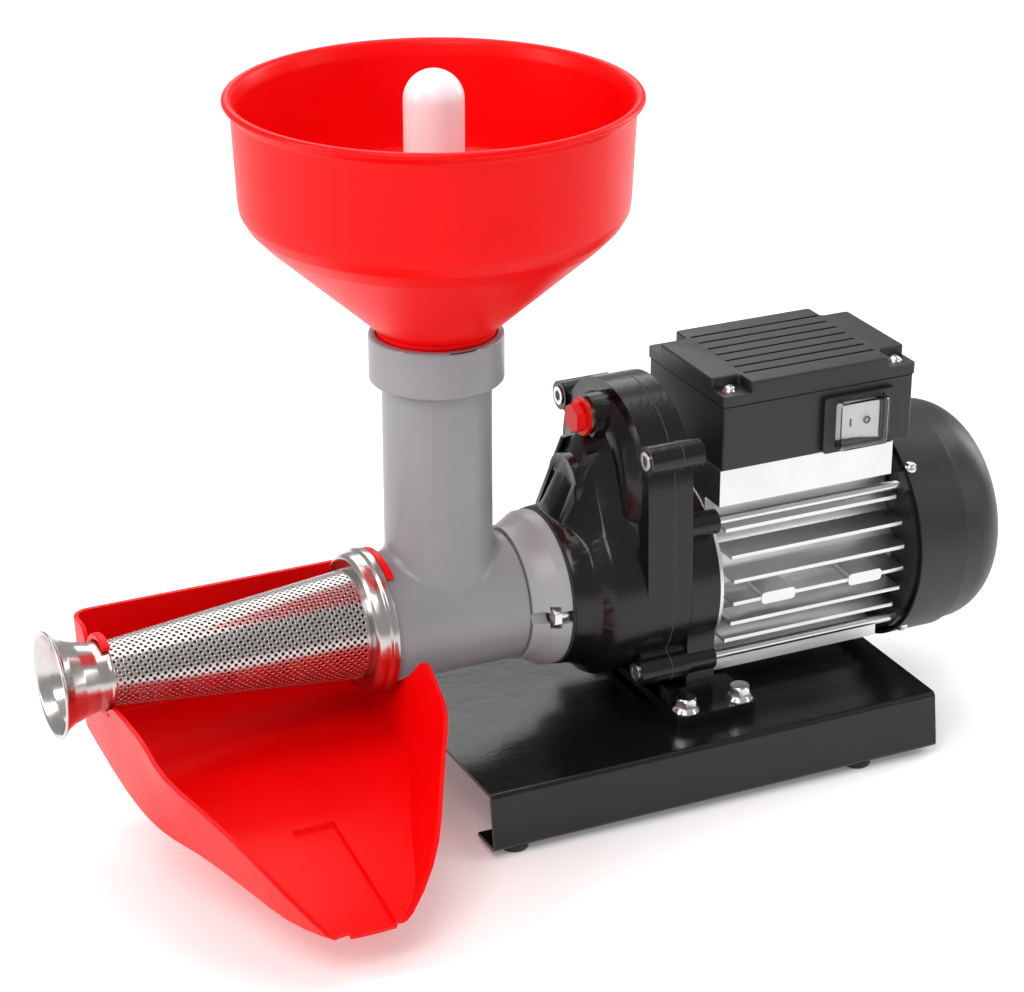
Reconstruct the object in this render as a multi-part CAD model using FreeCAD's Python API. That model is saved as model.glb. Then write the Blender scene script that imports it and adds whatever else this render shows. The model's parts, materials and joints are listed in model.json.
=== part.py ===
import FreeCAD, Part
import math
import os

from FreeCAD import Base, Placement, Rotation, Vector

os.makedirs("parts", exist_ok=True)

# Electric tomato strainer, in millimetres.
# While it is built, X runs along the screw towards the motor, Y runs away from the tray's tip
# and Z points up; the screw's axis and the feed tube's axis cross at (0, 0, 0).
# Each finished piece is moved so that the origin is at the middle of the object's footprint.

# ---------------------------------------------------------------- driving dimensions
FIT = 0.3                # gap between pieces that move past each other
RUN = 0.05               # radial gap of a running shaft
SEAT = 0.1               # gap of pieces that are pushed together

FLOOR_Z = -101.0
BASE_TOP_Z = -66.5
BASE_X0 = -8.7
BASE_LENGTH = 256.0
BASE_HALF_WIDTH = 80.0
BASE_HEIGHT = 30.5
BASE_FLARE = 4.2
BASE_LIP = 20.0
BASE_SHEET = 2.0
FOOT_R = 7.5
FOOT_INSET = 9.5
FOOT_STEM_R = 2.5
FOOT_XS = (6.0, 204.0)

BARREL_R = 33.1
BARREL_BORE = 29.9
BARREL_X0 = -46.0
BARREL_X1 = 35.5
TUBE_R = 27.0
TUBE_BORE = 23.5
SADDLE_FILLET = 5.0
COLLAR_R = 33.1
COLLAR_Z0 = 122.0
COLLAR_Z1 = 148.0
SOCKET_R = 29.5
SOCKET_Z = 124.5

FUNNEL_RIM_R = 97.0
FUNNEL_RIM_Z = 264.0
FUNNEL_BEAD = 2.8
FUNNEL_WALL = 2.4
FUNNEL_SIDE_R = 93.6
FUNNEL_SIDE_Z = 212.0
FUNNEL_CREASE_R = 83.5
FUNNEL_CREASE_Z = 199.5
SPOUT_R = SOCKET_R - FIT
SPOUT_TOP_Z = 151.0

PUSHER_R = 14.5
PUSHER_FOOT_R = 21.5
PUSHER_TOP_Z = 277.5
PUSHER_FOOT_H = 22.0
PUSHER_WALL = 2.4

AUGER_GAP = 1.3          # gap between the screw and the barrel
AUGER_R = BARREL_BORE - AUGER_GAP
AUGER_PITCH = 27.0
AUGER_FLIGHT = 4.0
AUGER_X0 = -168.0
AUGER_X1 = 26.0
AUGER_CORE_R0 = 7.5
AUGER_CORE_R1 = 15.0

CONE_X0 = -179.5
CONE_X1 = -47.2
CONE_R0 = 15.5
CONE_STEP = 2.0          # how far the cone's mouth stands inside the barrel's bore
CONE_R1 = BARREL_BORE - CONE_STEP
CONE_SHEET = 0.8
CONE_FLANGE_R = 32.6
CONE_RUN = 1.0           # gap between the screw and the cone

RING_BACK_X = -37.0
RING_FRONT_X = -48.2
RING_R = 37.0
RING_STEP_R = 35.9
RING_FRONT_R = 34.8
RING_MOUTH_R = 31.0
RING_SHEET = 1.2

OUTLET_MOUTH_X = -202.0
OUTLET_MOUTH_R = 25.4
OUTLET_BEAD = 1.5
OUTLET_NECK_X = -183.0
OUTLET_NECK_R = 16.9
OUTLET_SHEET = 1.1

TRAY_MID_X = -105.0
TRAY_WALL = 2.6
TRAY_BACK_Y = 42.0
TRAY_TIP_Y = -156.0
TRAY_BACK_W = 72.2
CHANNEL_Y = -79.0
CHANNEL_WIDTH = 22.0
CHANNEL_SHIFT = 2.5
TRAY_TOP_Z = 15.5
TRAY_TIP_Z = -78.0
HOOK_STRIP = 3.2
HOOK_WIDTH = 4.0
NECK_HOOK_X = -176.8
BARREL_HOOK_X = -34.4

ADAPTOR_X0 = 36.0
ADAPTOR_RIM_X = 49.5
ADAPTOR_X1 = 55.5
ADAPTOR_NOSE_R = 34.5
ADAPTOR_R = 40.0
SPIGOT_LENGTH = 9.0
ADAPTOR_BOLT_R = 35.0
GASKET = 1.2

CASE_X0 = ADAPTOR_X1 + GASKET
CASE_SPLIT_X = 107.5
CASE_X1 = 117.8
CASE_HUB_R = 41.0
CASE_WALL = 4.5
CASE_FLANGE = 15.0
CASE_GASKET = 0.5
BOSS_R = 7.6
BOSS_FRONT_X = 90.5
BOSS_TAIL = 2.0
SCREW_SINK = 5.1

MODULE = 1.5
MOTOR_TEETH = 18
IDLER_TEETH = 54
IDLER_PINION_TEETH = 15
OUTPUT_TEETH = 57
IDLER_Z = MODULE * (MOTOR_TEETH + IDLER_TEETH) / 2
BACKLASH = 0.16
ADDENDUM = 0.95          # tooth height over the pitch circle, in modules
LOW_ROOM = 1.325         # gap between the output gear and the case
TOP_ROOM = 1.575         # gap between the idler gear and the case
LINK_ROOM = 2.325        # gap between the idler pinion and the case
CASE_LOW_R = MODULE * (OUTPUT_TEETH / 2 + ADDENDUM) + LOW_ROOM + CASE_WALL
CASE_TOP_R = MODULE * (IDLER_TEETH / 2 + ADDENDUM) + TOP_ROOM + CASE_WALL
CASE_TOP_Z = IDLER_Z + 3.5
BOSS_TOP = (CASE_TOP_R + 0.5, CASE_TOP_Z + 23.5)
BOSS_LOW = (CASE_LOW_R - 8.2, CASE_LOW_R - 12.1)

OUTPUT_SHAFT_R = 10.0
OUTPUT_BEARING_R = 21.0
OUTPUT_BEARING_W = 8.0
OUTPUT_GEAR_X = 81.0
OUTPUT_GEAR_W = 12.0
IDLER_SHAFT_R = 6.0
IDLER_BEARING_R = 11.0
IDLER_BEARING_W = 7.0
IDLER_GEAR_X = 97.5
IDLER_GEAR_W = 8.0
MOTOR_SHAFT_R = 7.5
MOTOR_BEARING_R = 17.5
MOTOR_BEARING_W = 10.0

SHIELD_X1 = 134.0
SHIELD_R = 50.0
ROD_YZ = (41.8, 37.9)
ROD_R = 2.5
ROD_SLEEVE_R = 6.4
FOOT_PLATE_X0 = 106.6
FOOT_PLATE_X1 = 152.4
FOOT_PLATE_Y = 60.0
FOOT_PLATE_T = 7.0
LEG_X0 = 104.0
LEG_Y = 45.0
LEG_T = 9.0
FOOT_BOLT_Y = 52.5
FOOT_BOLT_XS = (114.2, 145.4)

HOUSING_X1 = 242.0
HOUSING_R = 39.0
HOUSING_BORE = 36.0
HOUSING_RIM = 1.8
FIN_TIP_R = 54.0
FIN_THICK = 2.0
FIN_PITCH = 12.2
FIN_TOP_Z = 31.9
FIN_START = 5.5
PAD_XS = (155.5, 207.0)
PAD_FIN = 3
FIN_COUNT = 6
PANEL_TOP_Z = 66.0
PANEL_LOW_Z = 46.5
PANEL_SHORT = 6.5         # how far the panels end before the housing does
STATOR_X0 = 152.0
STATOR_X1 = 216.0
STATOR_BORE = 20.4
AIR_GAP = 0.4
WINDING_LENGTH = 12.0
REAR_SHIELD_X1 = 252.0
REAR_SHIELD_R = 58.5
COVER_X0 = 246.5
COVER_R = 62.2
COVER_CREASE_X = 274.0
COVER_X1 = 307.0
COVER_END_R = 38.0
COVER_WALL = 1.5
FAN_R = 50.0
FAN_X0 = 260.0
FAN_BLADES = 9

BOX_X0 = 135.3
BOX_X1 = 246.0
BOX_Y0 = -45.0
BOX_Y1 = 34.0
BOX_TOP_Z = 99.6
BOX_WALL = 2.5
BOX_GASKET = 1.0
LID_OVER = 0.8
LID_PLATE = 5.4
LID_CROWN = 5.8
LID_NOTCH = (16.0, 12.5)
LID_SCREW_INSET = (7.2, 8.0)
SWITCH_X = 213.0
SWITCH_Z = 81.0
SWITCH_FRAME = (42.0, 30.0)
SWITCH_FRAME_OUT = 3.0
SWITCH_CUT = (30.0, 24.6)
HOOD_SIZE = (29.0, 26.0)
HOOD_OUT = 9.0
HOOD_WALL = 1.0
ROCKER_SIZE = (23.0, 20.0)
ROCKER_TILT = 11.0

X_AXIS = Vector(1, 0, 0)
Y_AXIS = Vector(0, 1, 0)
Z_AXIS = Vector(0, 0, 1)
SHIFT = Vector(
    -(OUTLET_MOUTH_X - OUTLET_BEAD + COVER_X1) / 2,
    -(TRAY_TIP_Y + FUNNEL_RIM_R + FUNNEL_BEAD) / 2,
    -FLOOR_Z,
)


# ---------------------------------------------------------------- helpers
def save(name, shape):
    """Moves a finished piece to the object's frame and writes it."""
    placed = shape.copy()
    placed.translate(SHIFT)
    placed.exportStep("parts/" + name + ".step")


def group(solids):
    """Several separate solids that share one node."""
    return Part.makeCompound(solids)


def box(x0, x1, y0, y1, z0, z1):
    return Part.makeBox(x1 - x0, y1 - y0, z1 - z0, Vector(x0, y0, z0))


def rod(x0, x1, radius, y=0.0, z=0.0):
    """A cylinder along X."""
    return Part.makeCylinder(radius, x1 - x0, Vector(x0, y, z), X_AXIS)


def post(z0, z1, radius, x=0.0, y=0.0):
    """A cylinder along Z."""
    return Part.makeCylinder(radius, z1 - z0, Vector(x, y, z0), Z_AXIS)


def tube(x0, x1, outer, inner, y=0.0, z=0.0):
    return rod(x0, x1, outer, y, z).cut(rod(x0, x1, inner, y, z))


def outline(steps):
    """A closed wire in the XY plane. A step is a point, or (middle, end) for an arc."""
    def flat(point):
        return Vector(point[0], point[1], 0)

    edges = []
    here = flat(steps[0])
    for step in steps[1:] + [steps[0]]:
        if isinstance(step[0], tuple):
            end = flat(step[1])
            edges.append(Part.Arc(here, flat(step[0]), end).toShape())
        else:
            end = flat(step)
            if here.distanceToPoint(end) > 1e-6:
                edges.append(Part.makeLine(here, end))
        here = end
    return Part.Wire(edges)


def turned(steps):
    """A solid of revolution about X, from (x, radius) steps."""
    return Part.Face(outline(steps)).revolve(Vector(0, 0, 0), X_AXIS, 360)


def turned_upright(steps):
    """A solid of revolution about Z, from (z, radius) steps."""
    solid = turned(steps)
    solid.rotate(Vector(0, 0, 0), Y_AXIS, -90)
    return solid


def bent(steps, y0, y1):
    """A solid with its outline in X and Z, running from y0 to y1."""
    solid = Part.Face(outline(steps)).extrude(Vector(0, 0, y1 - y0))
    solid.rotate(Vector(0, 0, 0), X_AXIS, 90)
    solid.translate(Vector(0, y1, 0))
    return solid


def slab(steps, z0, z1):
    """A solid with its outline in X and Y, running from z0 to z1."""
    solid = Part.Face(outline(steps)).extrude(Vector(0, 0, z1 - z0))
    solid.translate(Vector(0, 0, z0))
    return solid


def section(steps, x0, x1):
    """A solid with its outline in Y and Z, running from x0 to x1."""
    solid = Part.Face(outline(steps)).extrude(Vector(0, 0, x1 - x0))
    solid.Placement = Placement(Vector(x0, 0, 0), Rotation(Base.Matrix(
        0, 0, 1, 0,
        1, 0, 0, 0,
        0, 1, 0, 0,
        0, 0, 0, 1)))
    return solid


def fuse_all(solids):
    return solids[0].multiFuse(solids[1:]).removeSplitter()


def cut_all(solid, tools):
    return solid.cut(Part.makeCompound(tools))


def mirrored_y(solid):
    return solid.mirror(Vector(0, 0, 0), Y_AXIS)


def around_x(solid, angle):
    copy = solid.copy()
    copy.rotate(Vector(0, 0, 0), X_AXIS, angle)
    return copy


def rounded_box(x0, x1, y0, y1, z0, z1, radius, axis="z"):
    """A box with its four edges along one axis rounded."""
    solid = box(x0, x1, y0, y1, z0, z1)
    along = {"x": X_AXIS, "y": Y_AXIS, "z": Z_AXIS}[axis]
    edges = [e for e in solid.Edges if abs(e.tangentAt(e.FirstParameter).dot(along)) > 0.99]
    return solid.makeFillet(radius, edges)


def hex_head(x0, x1, across, y, z):
    """A hexagon along X."""
    radius = across / math.sqrt(3)
    steps = [(y + radius * math.cos(math.radians(60 * i + 30)),
              z + radius * math.sin(math.radians(60 * i + 30))) for i in range(6)]
    return section(steps, x0, x1)


def hex_upright(z0, z1, across, x, y):
    radius = across / math.sqrt(3)
    steps = [(x + radius * math.cos(math.radians(60 * i)),
              y + radius * math.sin(math.radians(60 * i))) for i in range(6)]
    return slab(steps, z0, z1)


def socket_screw(head_x, length, head_r, shank_r, y, z, socket=5.0, head=6.0):
    """A socket head screw along X: the head is in front of head_x."""
    screw = rod(head_x - head, head_x, head_r, y, z).fuse(rod(head_x, head_x + length, shank_r, y, z))
    return screw.cut(hex_head(head_x - head, head_x - head / 3, socket, y, z))


def cross_screw(base, direction, head_r, head, shank_r, length):
    """A round cross-slot screw: its head stands out from base along direction."""
    dome_r = (head_r ** 2 + head ** 2) / (2 * head)
    dome = Part.makeSphere(dome_r, Vector(0, 0, head - dome_r)).common(post(0, head, head_r))
    slots = [box(-head_r * 0.62, head_r * 0.62, -0.45, 0.45, head * 0.55, head + 1),
             box(-0.45, 0.45, -head_r * 0.62, head_r * 0.62, head * 0.55, head + 1)]
    screw = cut_all(dome.fuse(post(-length, 0, shank_r)), slots)
    screw.Placement = Placement(base, Rotation(Z_AXIS, direction))
    return screw


def bearing(x0, width, outer, inner, y=0.0, z=0.0):
    """A shielded ball bearing as one ring, with the shields set back."""
    ring = tube(x0, x0 + width, outer, inner, y, z)
    race = (outer - inner) * 0.26
    groove = 0.6
    cuts = [tube(x, x + groove, outer - race, inner + race, y, z) for x in (x0, x0 + width - groove)]
    return cut_all(ring, cuts)


# ---------------------------------------------------------------- gears
def gear(teeth, x0, width, bore, y, z, start):
    """A spur gear along X with involute flanks; one tooth stands at start degrees."""
    pitch_r = MODULE * teeth / 2
    base_r = pitch_r * math.cos(math.radians(20))
    tip_r = pitch_r + MODULE * ADDENDUM
    root_r = pitch_r - MODULE * 1.25
    flank_r = max(base_r, root_r + 0.05)

    def involute(radius):
        roll = math.sqrt(max((radius / base_r) ** 2 - 1, 0))
        return roll - math.atan(roll)

    half_tooth = math.pi / (2 * teeth) - BACKLASH / (2 * pitch_r) + involute(pitch_r)

    def at(radius, angle):
        return Vector(0, radius * math.cos(angle), radius * math.sin(angle))

    edges = []
    flank_steps = 6
    radii = [flank_r + (tip_r - flank_r) * i / flank_steps for i in range(flank_steps + 1)]
    step = 2 * math.pi / teeth
    for tooth in range(teeth):
        middle = math.radians(start) + tooth * step
        rising = [at(r, middle - half_tooth + involute(r)) for r in radii]
        falling = [at(r, middle + half_tooth - involute(r)) for r in reversed(radii)]
        foot_in = at(root_r, middle - half_tooth)
        foot_out = at(root_r, middle + half_tooth)
        next_in = at(root_r, middle + step - half_tooth)
        for points in (rising, falling):
            curve = Part.BSplineCurve()
            curve.interpolate(points)
            points.append(curve.toShape())
        edges.append(Part.makeLine(foot_in, rising[0]))
        edges.append(rising[-1])
        edges.append(Part.Arc(rising[-2], at(tip_r, middle), falling[0]).toShape())
        edges.append(falling[-1])
        edges.append(Part.makeLine(falling[-2], foot_out))
        edges.append(Part.Arc(foot_out, at(root_r, middle + step / 2), next_in).toShape())
    blank = Part.Face(Part.Wire(Part.__sortEdges__(edges))).extrude(Vector(width, 0, 0))
    blank.translate(Vector(x0, y, z))
    return blank.cut(rod(x0 - 1, x0 + width + 1, bore, y, z))


# ---------------------------------------------------------------- base
def foot_places():
    lip_y = BASE_HALF_WIDTH + BASE_FLARE - FOOT_INSET
    return [(x, y) for x in FOOT_XS for y in (-lip_y, lip_y)]


def bolt_places():
    return [(x, y) for x in FOOT_BOLT_XS for y in (-FOOT_BOLT_Y, FOOT_BOLT_Y)]


def base_frame():
    top, low = BASE_TOP_Z, BASE_TOP_Z - BASE_HEIGHT
    w, foot_w, t = BASE_HALF_WIDTH, BASE_HALF_WIDTH + BASE_FLARE, BASE_SHEET
    half = [(w, top), (foot_w, low), (foot_w - BASE_LIP, low), (foot_w - BASE_LIP, low + t),
            (foot_w - t, low + t), (w - t, top - t)]
    steps = half + [(-y, z) for y, z in reversed(half)]
    channel = section(steps, BASE_X0, BASE_X0 + BASE_LENGTH)

    def bend_edges(inside):
        found = []
        for edge in channel.Edges:
            if abs(edge.tangentAt(edge.FirstParameter).x) < 0.99:
                continue
            y, z = abs(edge.Vertexes[0].Point.y), edge.Vertexes[0].Point.z
            outer_bend = min(abs(y - w) + abs(z - top), abs(y - foot_w) + abs(z - low)) < 0.1
            inner_bend = min(abs(y - w + t) + abs(z - top + t), abs(y - foot_w + t) + abs(z - low - t)) < 0.1
            if (inner_bend if inside else outer_bend):
                found.append(edge)
        return found

    channel = channel.makeFillet(t * 1.4, bend_edges(False))
    channel = channel.makeFillet(t * 0.4, bend_edges(True))
    holes = [post(top - t - 1, top + 1, 3.3, x, y) for x, y in bolt_places()]
    holes += [post(low - 1, low + t + 1, FOOT_STEM_R + SEAT, x, y) for x, y in foot_places()]
    return cut_all(channel, holes)


def rubber_feet():
    low = BASE_TOP_Z - BASE_HEIGHT
    feet = []
    for x, y in foot_places():
        pad = turned_upright([(low, 0), (low, FOOT_R), (FLOOR_Z + 1, FOOT_R), (FLOOR_Z, FOOT_R - 1),
                              (FLOOR_Z, 0)])
        stem = post(low, low + BASE_SHEET + 0.2, FOOT_STEM_R)
        barb = Part.makeCone(FOOT_STEM_R + 1, FOOT_STEM_R - 1, 3, Vector(0, 0, low + BASE_SHEET + 0.2))
        foot = fuse_all([pad, stem, barb])
        foot.translate(Vector(x, y, 0))
        feet.append(foot)
    return group(feet)


def foot_bolts():
    top = BASE_TOP_Z + FOOT_PLATE_T
    bolts = []
    for x, y in bolt_places():
        flange = Part.makeCone(7.0, 5.6, 2.2, Vector(x, y, top))
        head = hex_upright(top + 2.2, top + 7.2, 10.0, x, y)
        crown = Part.makeCone(6.3, 4.7, 1.8, Vector(x, y, top + 5.4))
        shank = post(BASE_TOP_Z - BASE_SHEET - 7.5, top, 3.0, x, y)
        bolts.append(fuse_all([flange, head.common(crown.fuse(post(top, top + 5.4, 6.3, x, y))), shank]))
    return group(bolts)


def foot_nuts():
    top = BASE_TOP_Z - BASE_SHEET
    return group([hex_upright(top - 5, top, 10.0, x, y).cut(post(top - 6, top + 1, 3.0, x, y))
                  for x, y in bolt_places()])


# ---------------------------------------------------------------- feed body, funnel, pusher
def feed_body():
    barrel = rod(BARREL_X0, BARREL_X1, BARREL_R)
    riser = post(0, COLLAR_Z1, TUBE_R)
    body = barrel.fuse(riser)
    saddle = [e for e in body.Edges
              if e.BoundBox.ZMin > 1 and e.BoundBox.ZMax < BARREL_R + 1
              and e.BoundBox.XLength > TUBE_R and e.BoundBox.YLength > TUBE_R]
    body = body.makeFillet(SADDLE_FILLET, saddle)
    collar = turned_upright([(COLLAR_Z0, 0), (COLLAR_Z0, TUBE_R + 2), (COLLAR_Z0 + 2.5, COLLAR_R),
                             (COLLAR_Z1 - 1, COLLAR_R), (COLLAR_Z1, COLLAR_R - 1), (COLLAR_Z1, 0)])
    body = fuse_all([body, collar])
    hollow = [rod(BARREL_X0 - 1, BARREL_X1 + 1, BARREL_BORE), post(0, SOCKET_Z, TUBE_BORE),
              post(SOCKET_Z, COLLAR_Z1 + 1, SOCKET_R)]
    return body.cut(fuse_all(hollow))


def funnel():
    t = FUNNEL_WALL
    slope = (FUNNEL_CREASE_R - SPOUT_R) / (FUNNEL_CREASE_Z - SPOUT_TOP_Z)
    side_top = (FUNNEL_RIM_Z, FUNNEL_RIM_R - FUNNEL_BEAD + t / 2)
    shell = turned_upright([
        (SOCKET_Z + FIT, SPOUT_R), (SPOUT_TOP_Z, SPOUT_R), (FUNNEL_CREASE_Z, FUNNEL_CREASE_R),
        (FUNNEL_CREASE_Z + 6.5, FUNNEL_CREASE_R + 6.5),
        ((FUNNEL_CREASE_Z + 8.7, FUNNEL_CREASE_R + 9.2), (FUNNEL_SIDE_Z, FUNNEL_SIDE_R)),
        side_top, (side_top[0], side_top[1] - t), (FUNNEL_SIDE_Z + 0.4, FUNNEL_SIDE_R - t),
        (FUNNEL_CREASE_Z + t * 0.9, FUNNEL_CREASE_R - t * 0.3 - 1),
        (SPOUT_TOP_Z + t * 0.4, SPOUT_R - t * 0.7 * slope), (SPOUT_TOP_Z - 2, SPOUT_R - t),
        (SOCKET_Z + FIT, SPOUT_R - t)])
    bead = Part.makeTorus(FUNNEL_RIM_R, FUNNEL_BEAD, Vector(0, 0, FUNNEL_RIM_Z), Z_AXIS)
    return fuse_all([shell, bead])


def pusher():
    low = AUGER_R + FIT
    t = PUSHER_WALL
    dome_z = PUSHER_TOP_Z - PUSHER_R
    bend = math.sqrt(0.5)
    outer = [
        (low, 0), (low, PUSHER_FOOT_R - 1), (low + 1, PUSHER_FOOT_R),
        (low + PUSHER_FOOT_H, PUSHER_FOOT_R), (low + PUSHER_FOOT_H + 7, PUSHER_R), (dome_z, PUSHER_R),
        ((dome_z + PUSHER_R * bend, PUSHER_R * bend), (PUSHER_TOP_Z, 0))]
    r = PUSHER_R - t
    inner = [(low + t, 0), (low + t, r), (dome_z, r), ((dome_z + r * bend, r * bend), (dome_z + r, 0))]
    return turned_upright(outer).cut(turned_upright(inner))


# ---------------------------------------------------------------- filter
def cone_radius(x):
    """The cone's outer radius at x."""
    return CONE_R0 + (CONE_R1 - CONE_R0) * (x - CONE_X0) / (CONE_X1 - CONE_X0)


def filter_cone():
    t = CONE_SHEET
    return turned([(CONE_X0, CONE_R0), (CONE_X1, CONE_R1), (CONE_X1 - t / 2, CONE_FLANGE_R),
                   (CONE_X1 + t / 2, CONE_FLANGE_R), (CONE_X1 + t, CONE_R1 - t), (CONE_X0, CONE_R0 - t)])


def filter_ring():
    t = RING_SHEET
    back, front = RING_BACK_X, RING_FRONT_X
    shell = turned([
        (back, RING_R), (back - 3.6, RING_R), (back - 4.6, RING_STEP_R), (back - 7.2, RING_STEP_R),
        (front + 1.2, RING_FRONT_R), (front, RING_FRONT_R - 1.2), (front, RING_MOUTH_R),
        (CONE_X1 - CONE_SHEET / 2 - SEAT, RING_MOUTH_R),
        (CONE_X1 - CONE_SHEET / 2 - SEAT, CONE_FLANGE_R + SEAT), (BARREL_X0 - 2 * SEAT, CONE_FLANGE_R + SEAT),
        (BARREL_X0 - 2 * SEAT, BARREL_R + FIT), (back - 7.2, BARREL_R + FIT),
        (back - 6.4, RING_STEP_R - RING_SHEET + 0.3),
        (back, RING_STEP_R - RING_SHEET + 0.3)])
    return shell


def waste_outlet():
    t = OUTLET_SHEET
    grip = CONE_X0 + 4.9
    flare_x, flare_r = OUTLET_MOUTH_X + 5.0, OUTLET_MOUTH_R - 3.6
    shell = turned([
        (grip, cone_radius(grip) + SEAT), (grip - 0.4, OUTLET_NECK_R + 0.3), (grip - 1.6, OUTLET_NECK_R + 0.5),
        (grip - 2.6, OUTLET_NECK_R), (OUTLET_NECK_X, OUTLET_NECK_R + 0.3), (flare_x, flare_r),
        (OUTLET_MOUTH_X, OUTLET_MOUTH_R + 0.4), (OUTLET_MOUTH_X, OUTLET_MOUTH_R - t + 0.2),
        (flare_x - 0.4, flare_r - t), (OUTLET_NECK_X, OUTLET_NECK_R + 0.3 - t), (CONE_X0 - SEAT, CONE_R0 - CONE_SHEET),
        (CONE_X0 - SEAT, CONE_R0 + SEAT), (CONE_X0, CONE_R0 + SEAT)])
    bead = Part.makeTorus(OUTLET_MOUTH_R, OUTLET_BEAD, Vector(OUTLET_MOUTH_X, 0, 0), X_AXIS)
    return fuse_all([shell, bead])


# ---------------------------------------------------------------- screw
def auger():
    reach = AUGER_R + 3
    turns = Part.makeLongHelix(AUGER_PITCH, AUGER_X1 - AUGER_X0, AUGER_R * 0.5)
    inner = AUGER_CORE_R0 - 3
    profile = Part.makePolygon([Vector(inner, 0, 0), Vector(reach, 0, -0.6), Vector(reach, 0, AUGER_FLIGHT - 0.6),
                                Vector(inner, 0, AUGER_FLIGHT), Vector(inner, 0, 0)])
    flight = Part.Wire(turns.Edges).makePipeShell([profile], True, True)
    flight.rotate(Vector(0, 0, 0), Y_AXIS, 90)
    flight.translate(Vector(AUGER_X0, 0, 0))
    wide_x = RING_FRONT_X + 4
    gap = CONE_SHEET + CONE_RUN
    envelope = turned([
        (AUGER_X0 + 2, 0), (AUGER_X0 + 2, cone_radius(AUGER_X0 + 2) - gap), (wide_x, cone_radius(wide_x) - gap),
        (wide_x + 5, AUGER_R), (AUGER_X1, AUGER_R), (AUGER_X1, 0)])
    core = turned([(AUGER_X0, 0), (AUGER_X0, AUGER_CORE_R0 - 2), (AUGER_X0 + 2, AUGER_CORE_R0),
                   (AUGER_X1 - 4, AUGER_CORE_R1), (AUGER_X1 - 4, AUGER_R), (AUGER_X1, AUGER_R), (AUGER_X1, 0)])
    screw = core.fuse(flight.common(envelope))
    return screw.cut(hex_head(AUGER_X1 - 24, AUGER_X1 + 1, drive_across() + 2 * SEAT, 0, 0))


def drive_across():
    """The hexagonal drive on the output shaft, across its flats."""
    return OUTPUT_SHAFT_R * 1.6


def output_shaft():
    drive = hex_head(AUGER_X1 - 22, AUGER_X1 + 8, drive_across(), 0, 0)
    body = rod(AUGER_X1 + 8, OUTPUT_GEAR_X + OUTPUT_GEAR_W, OUTPUT_SHAFT_R)
    shoulder = rod(OUTPUT_GEAR_X - 1.2, OUTPUT_GEAR_X, OUTPUT_SHAFT_R + 4)
    return fuse_all([drive, body, shoulder])


# ---------------------------------------------------------------- tray
def mirrored_outline(half, inset):
    """A closed outline from above, from the back's right corner round to its mirror image."""
    def place(point, side):
        return (TRAY_MID_X + side * (point[0] - inset), point[1] + inset * (1 if point[1] < -90 else -1))

    steps = []
    for step in half:
        if isinstance(step[0], tuple):
            steps.append((place(step[0], 1), place(step[1], 1)))
        else:
            steps.append(place(step, 1))
    ends = [step[1] if isinstance(step[0], tuple) else step for step in half]
    middles = [step[0] if isinstance(step[0], tuple) else None for step in half]
    steps.append(place(ends[-1], -1))
    for i in range(len(half) - 1, 0, -1):
        end = place(ends[i - 1], -1)
        steps.append((place(middles[i], -1), end) if middles[i] else end)
    return steps


def tray_block(inset):
    """The tray's leaning sides, inside or outside."""
    w, back = TRAY_BACK_W, TRAY_BACK_Y
    top = [(w - 8, back), ((w - 2.3, back - 2.3), (w, back - 8)), (w + 0.6, -68),
           ((w + 0.4, -88), (w - 3, -106)), (w - 16, -142), ((w - 28, -158), (w - 48, -162))]
    low = [(w - 12, back - 2), ((w - 4.3, back - 5), (w - 1.7, back - 13)), (w - 1.7, -32),
           ((w - 5, -54), (w - 13, -74)), (w - 38, -130), ((w - 46, -151), (w - 60, -158))]
    wires = []
    for half, z in ((top, 16.5), (low, -80.0)):
        wire = outline(mirrored_outline(half, inset))
        wire.translate(Vector(0, 0, z))
        wires.append(wire)
    return Part.makeLoft(wires, True, True)


def tray_side(inset):
    """The tray's outline from the side, as (y, z) steps; the floor is moved up by inset."""
    back, tip, top = TRAY_BACK_Y + 2 - inset, TRAY_TIP_Y, 16.5
    return [(back, top), (back, -12), ((back - 13, -41 + inset), (0, -53.5 + inset)), (-62, -60.5 + inset),
            (tip, TRAY_TIP_Z + inset), (tip, top)]


def tray_solid(inset):
    wide = TRAY_BACK_W + 20
    return tray_block(inset).common(section(tray_side(inset), TRAY_MID_X - wide, TRAY_MID_X + wide))


def tray_rim():
    """Everything above the tray's top edge, to be cut away, as (y, z) steps."""
    far = 200.0
    return [(TRAY_BACK_Y + 2, TRAY_TOP_Z), (34, TRAY_TOP_Z), ((26, 11), (20, 2)), (-20, -7), (-62, -7.5),
            ((-78, -10.5), (-92, -18)), (-128, -37.5), ((-143, -48), (-152, -66)),
            (TRAY_TIP_Y - 2, -74.5), (TRAY_TIP_Y - 2, far), (TRAY_BACK_Y + 2, far)]


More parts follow.
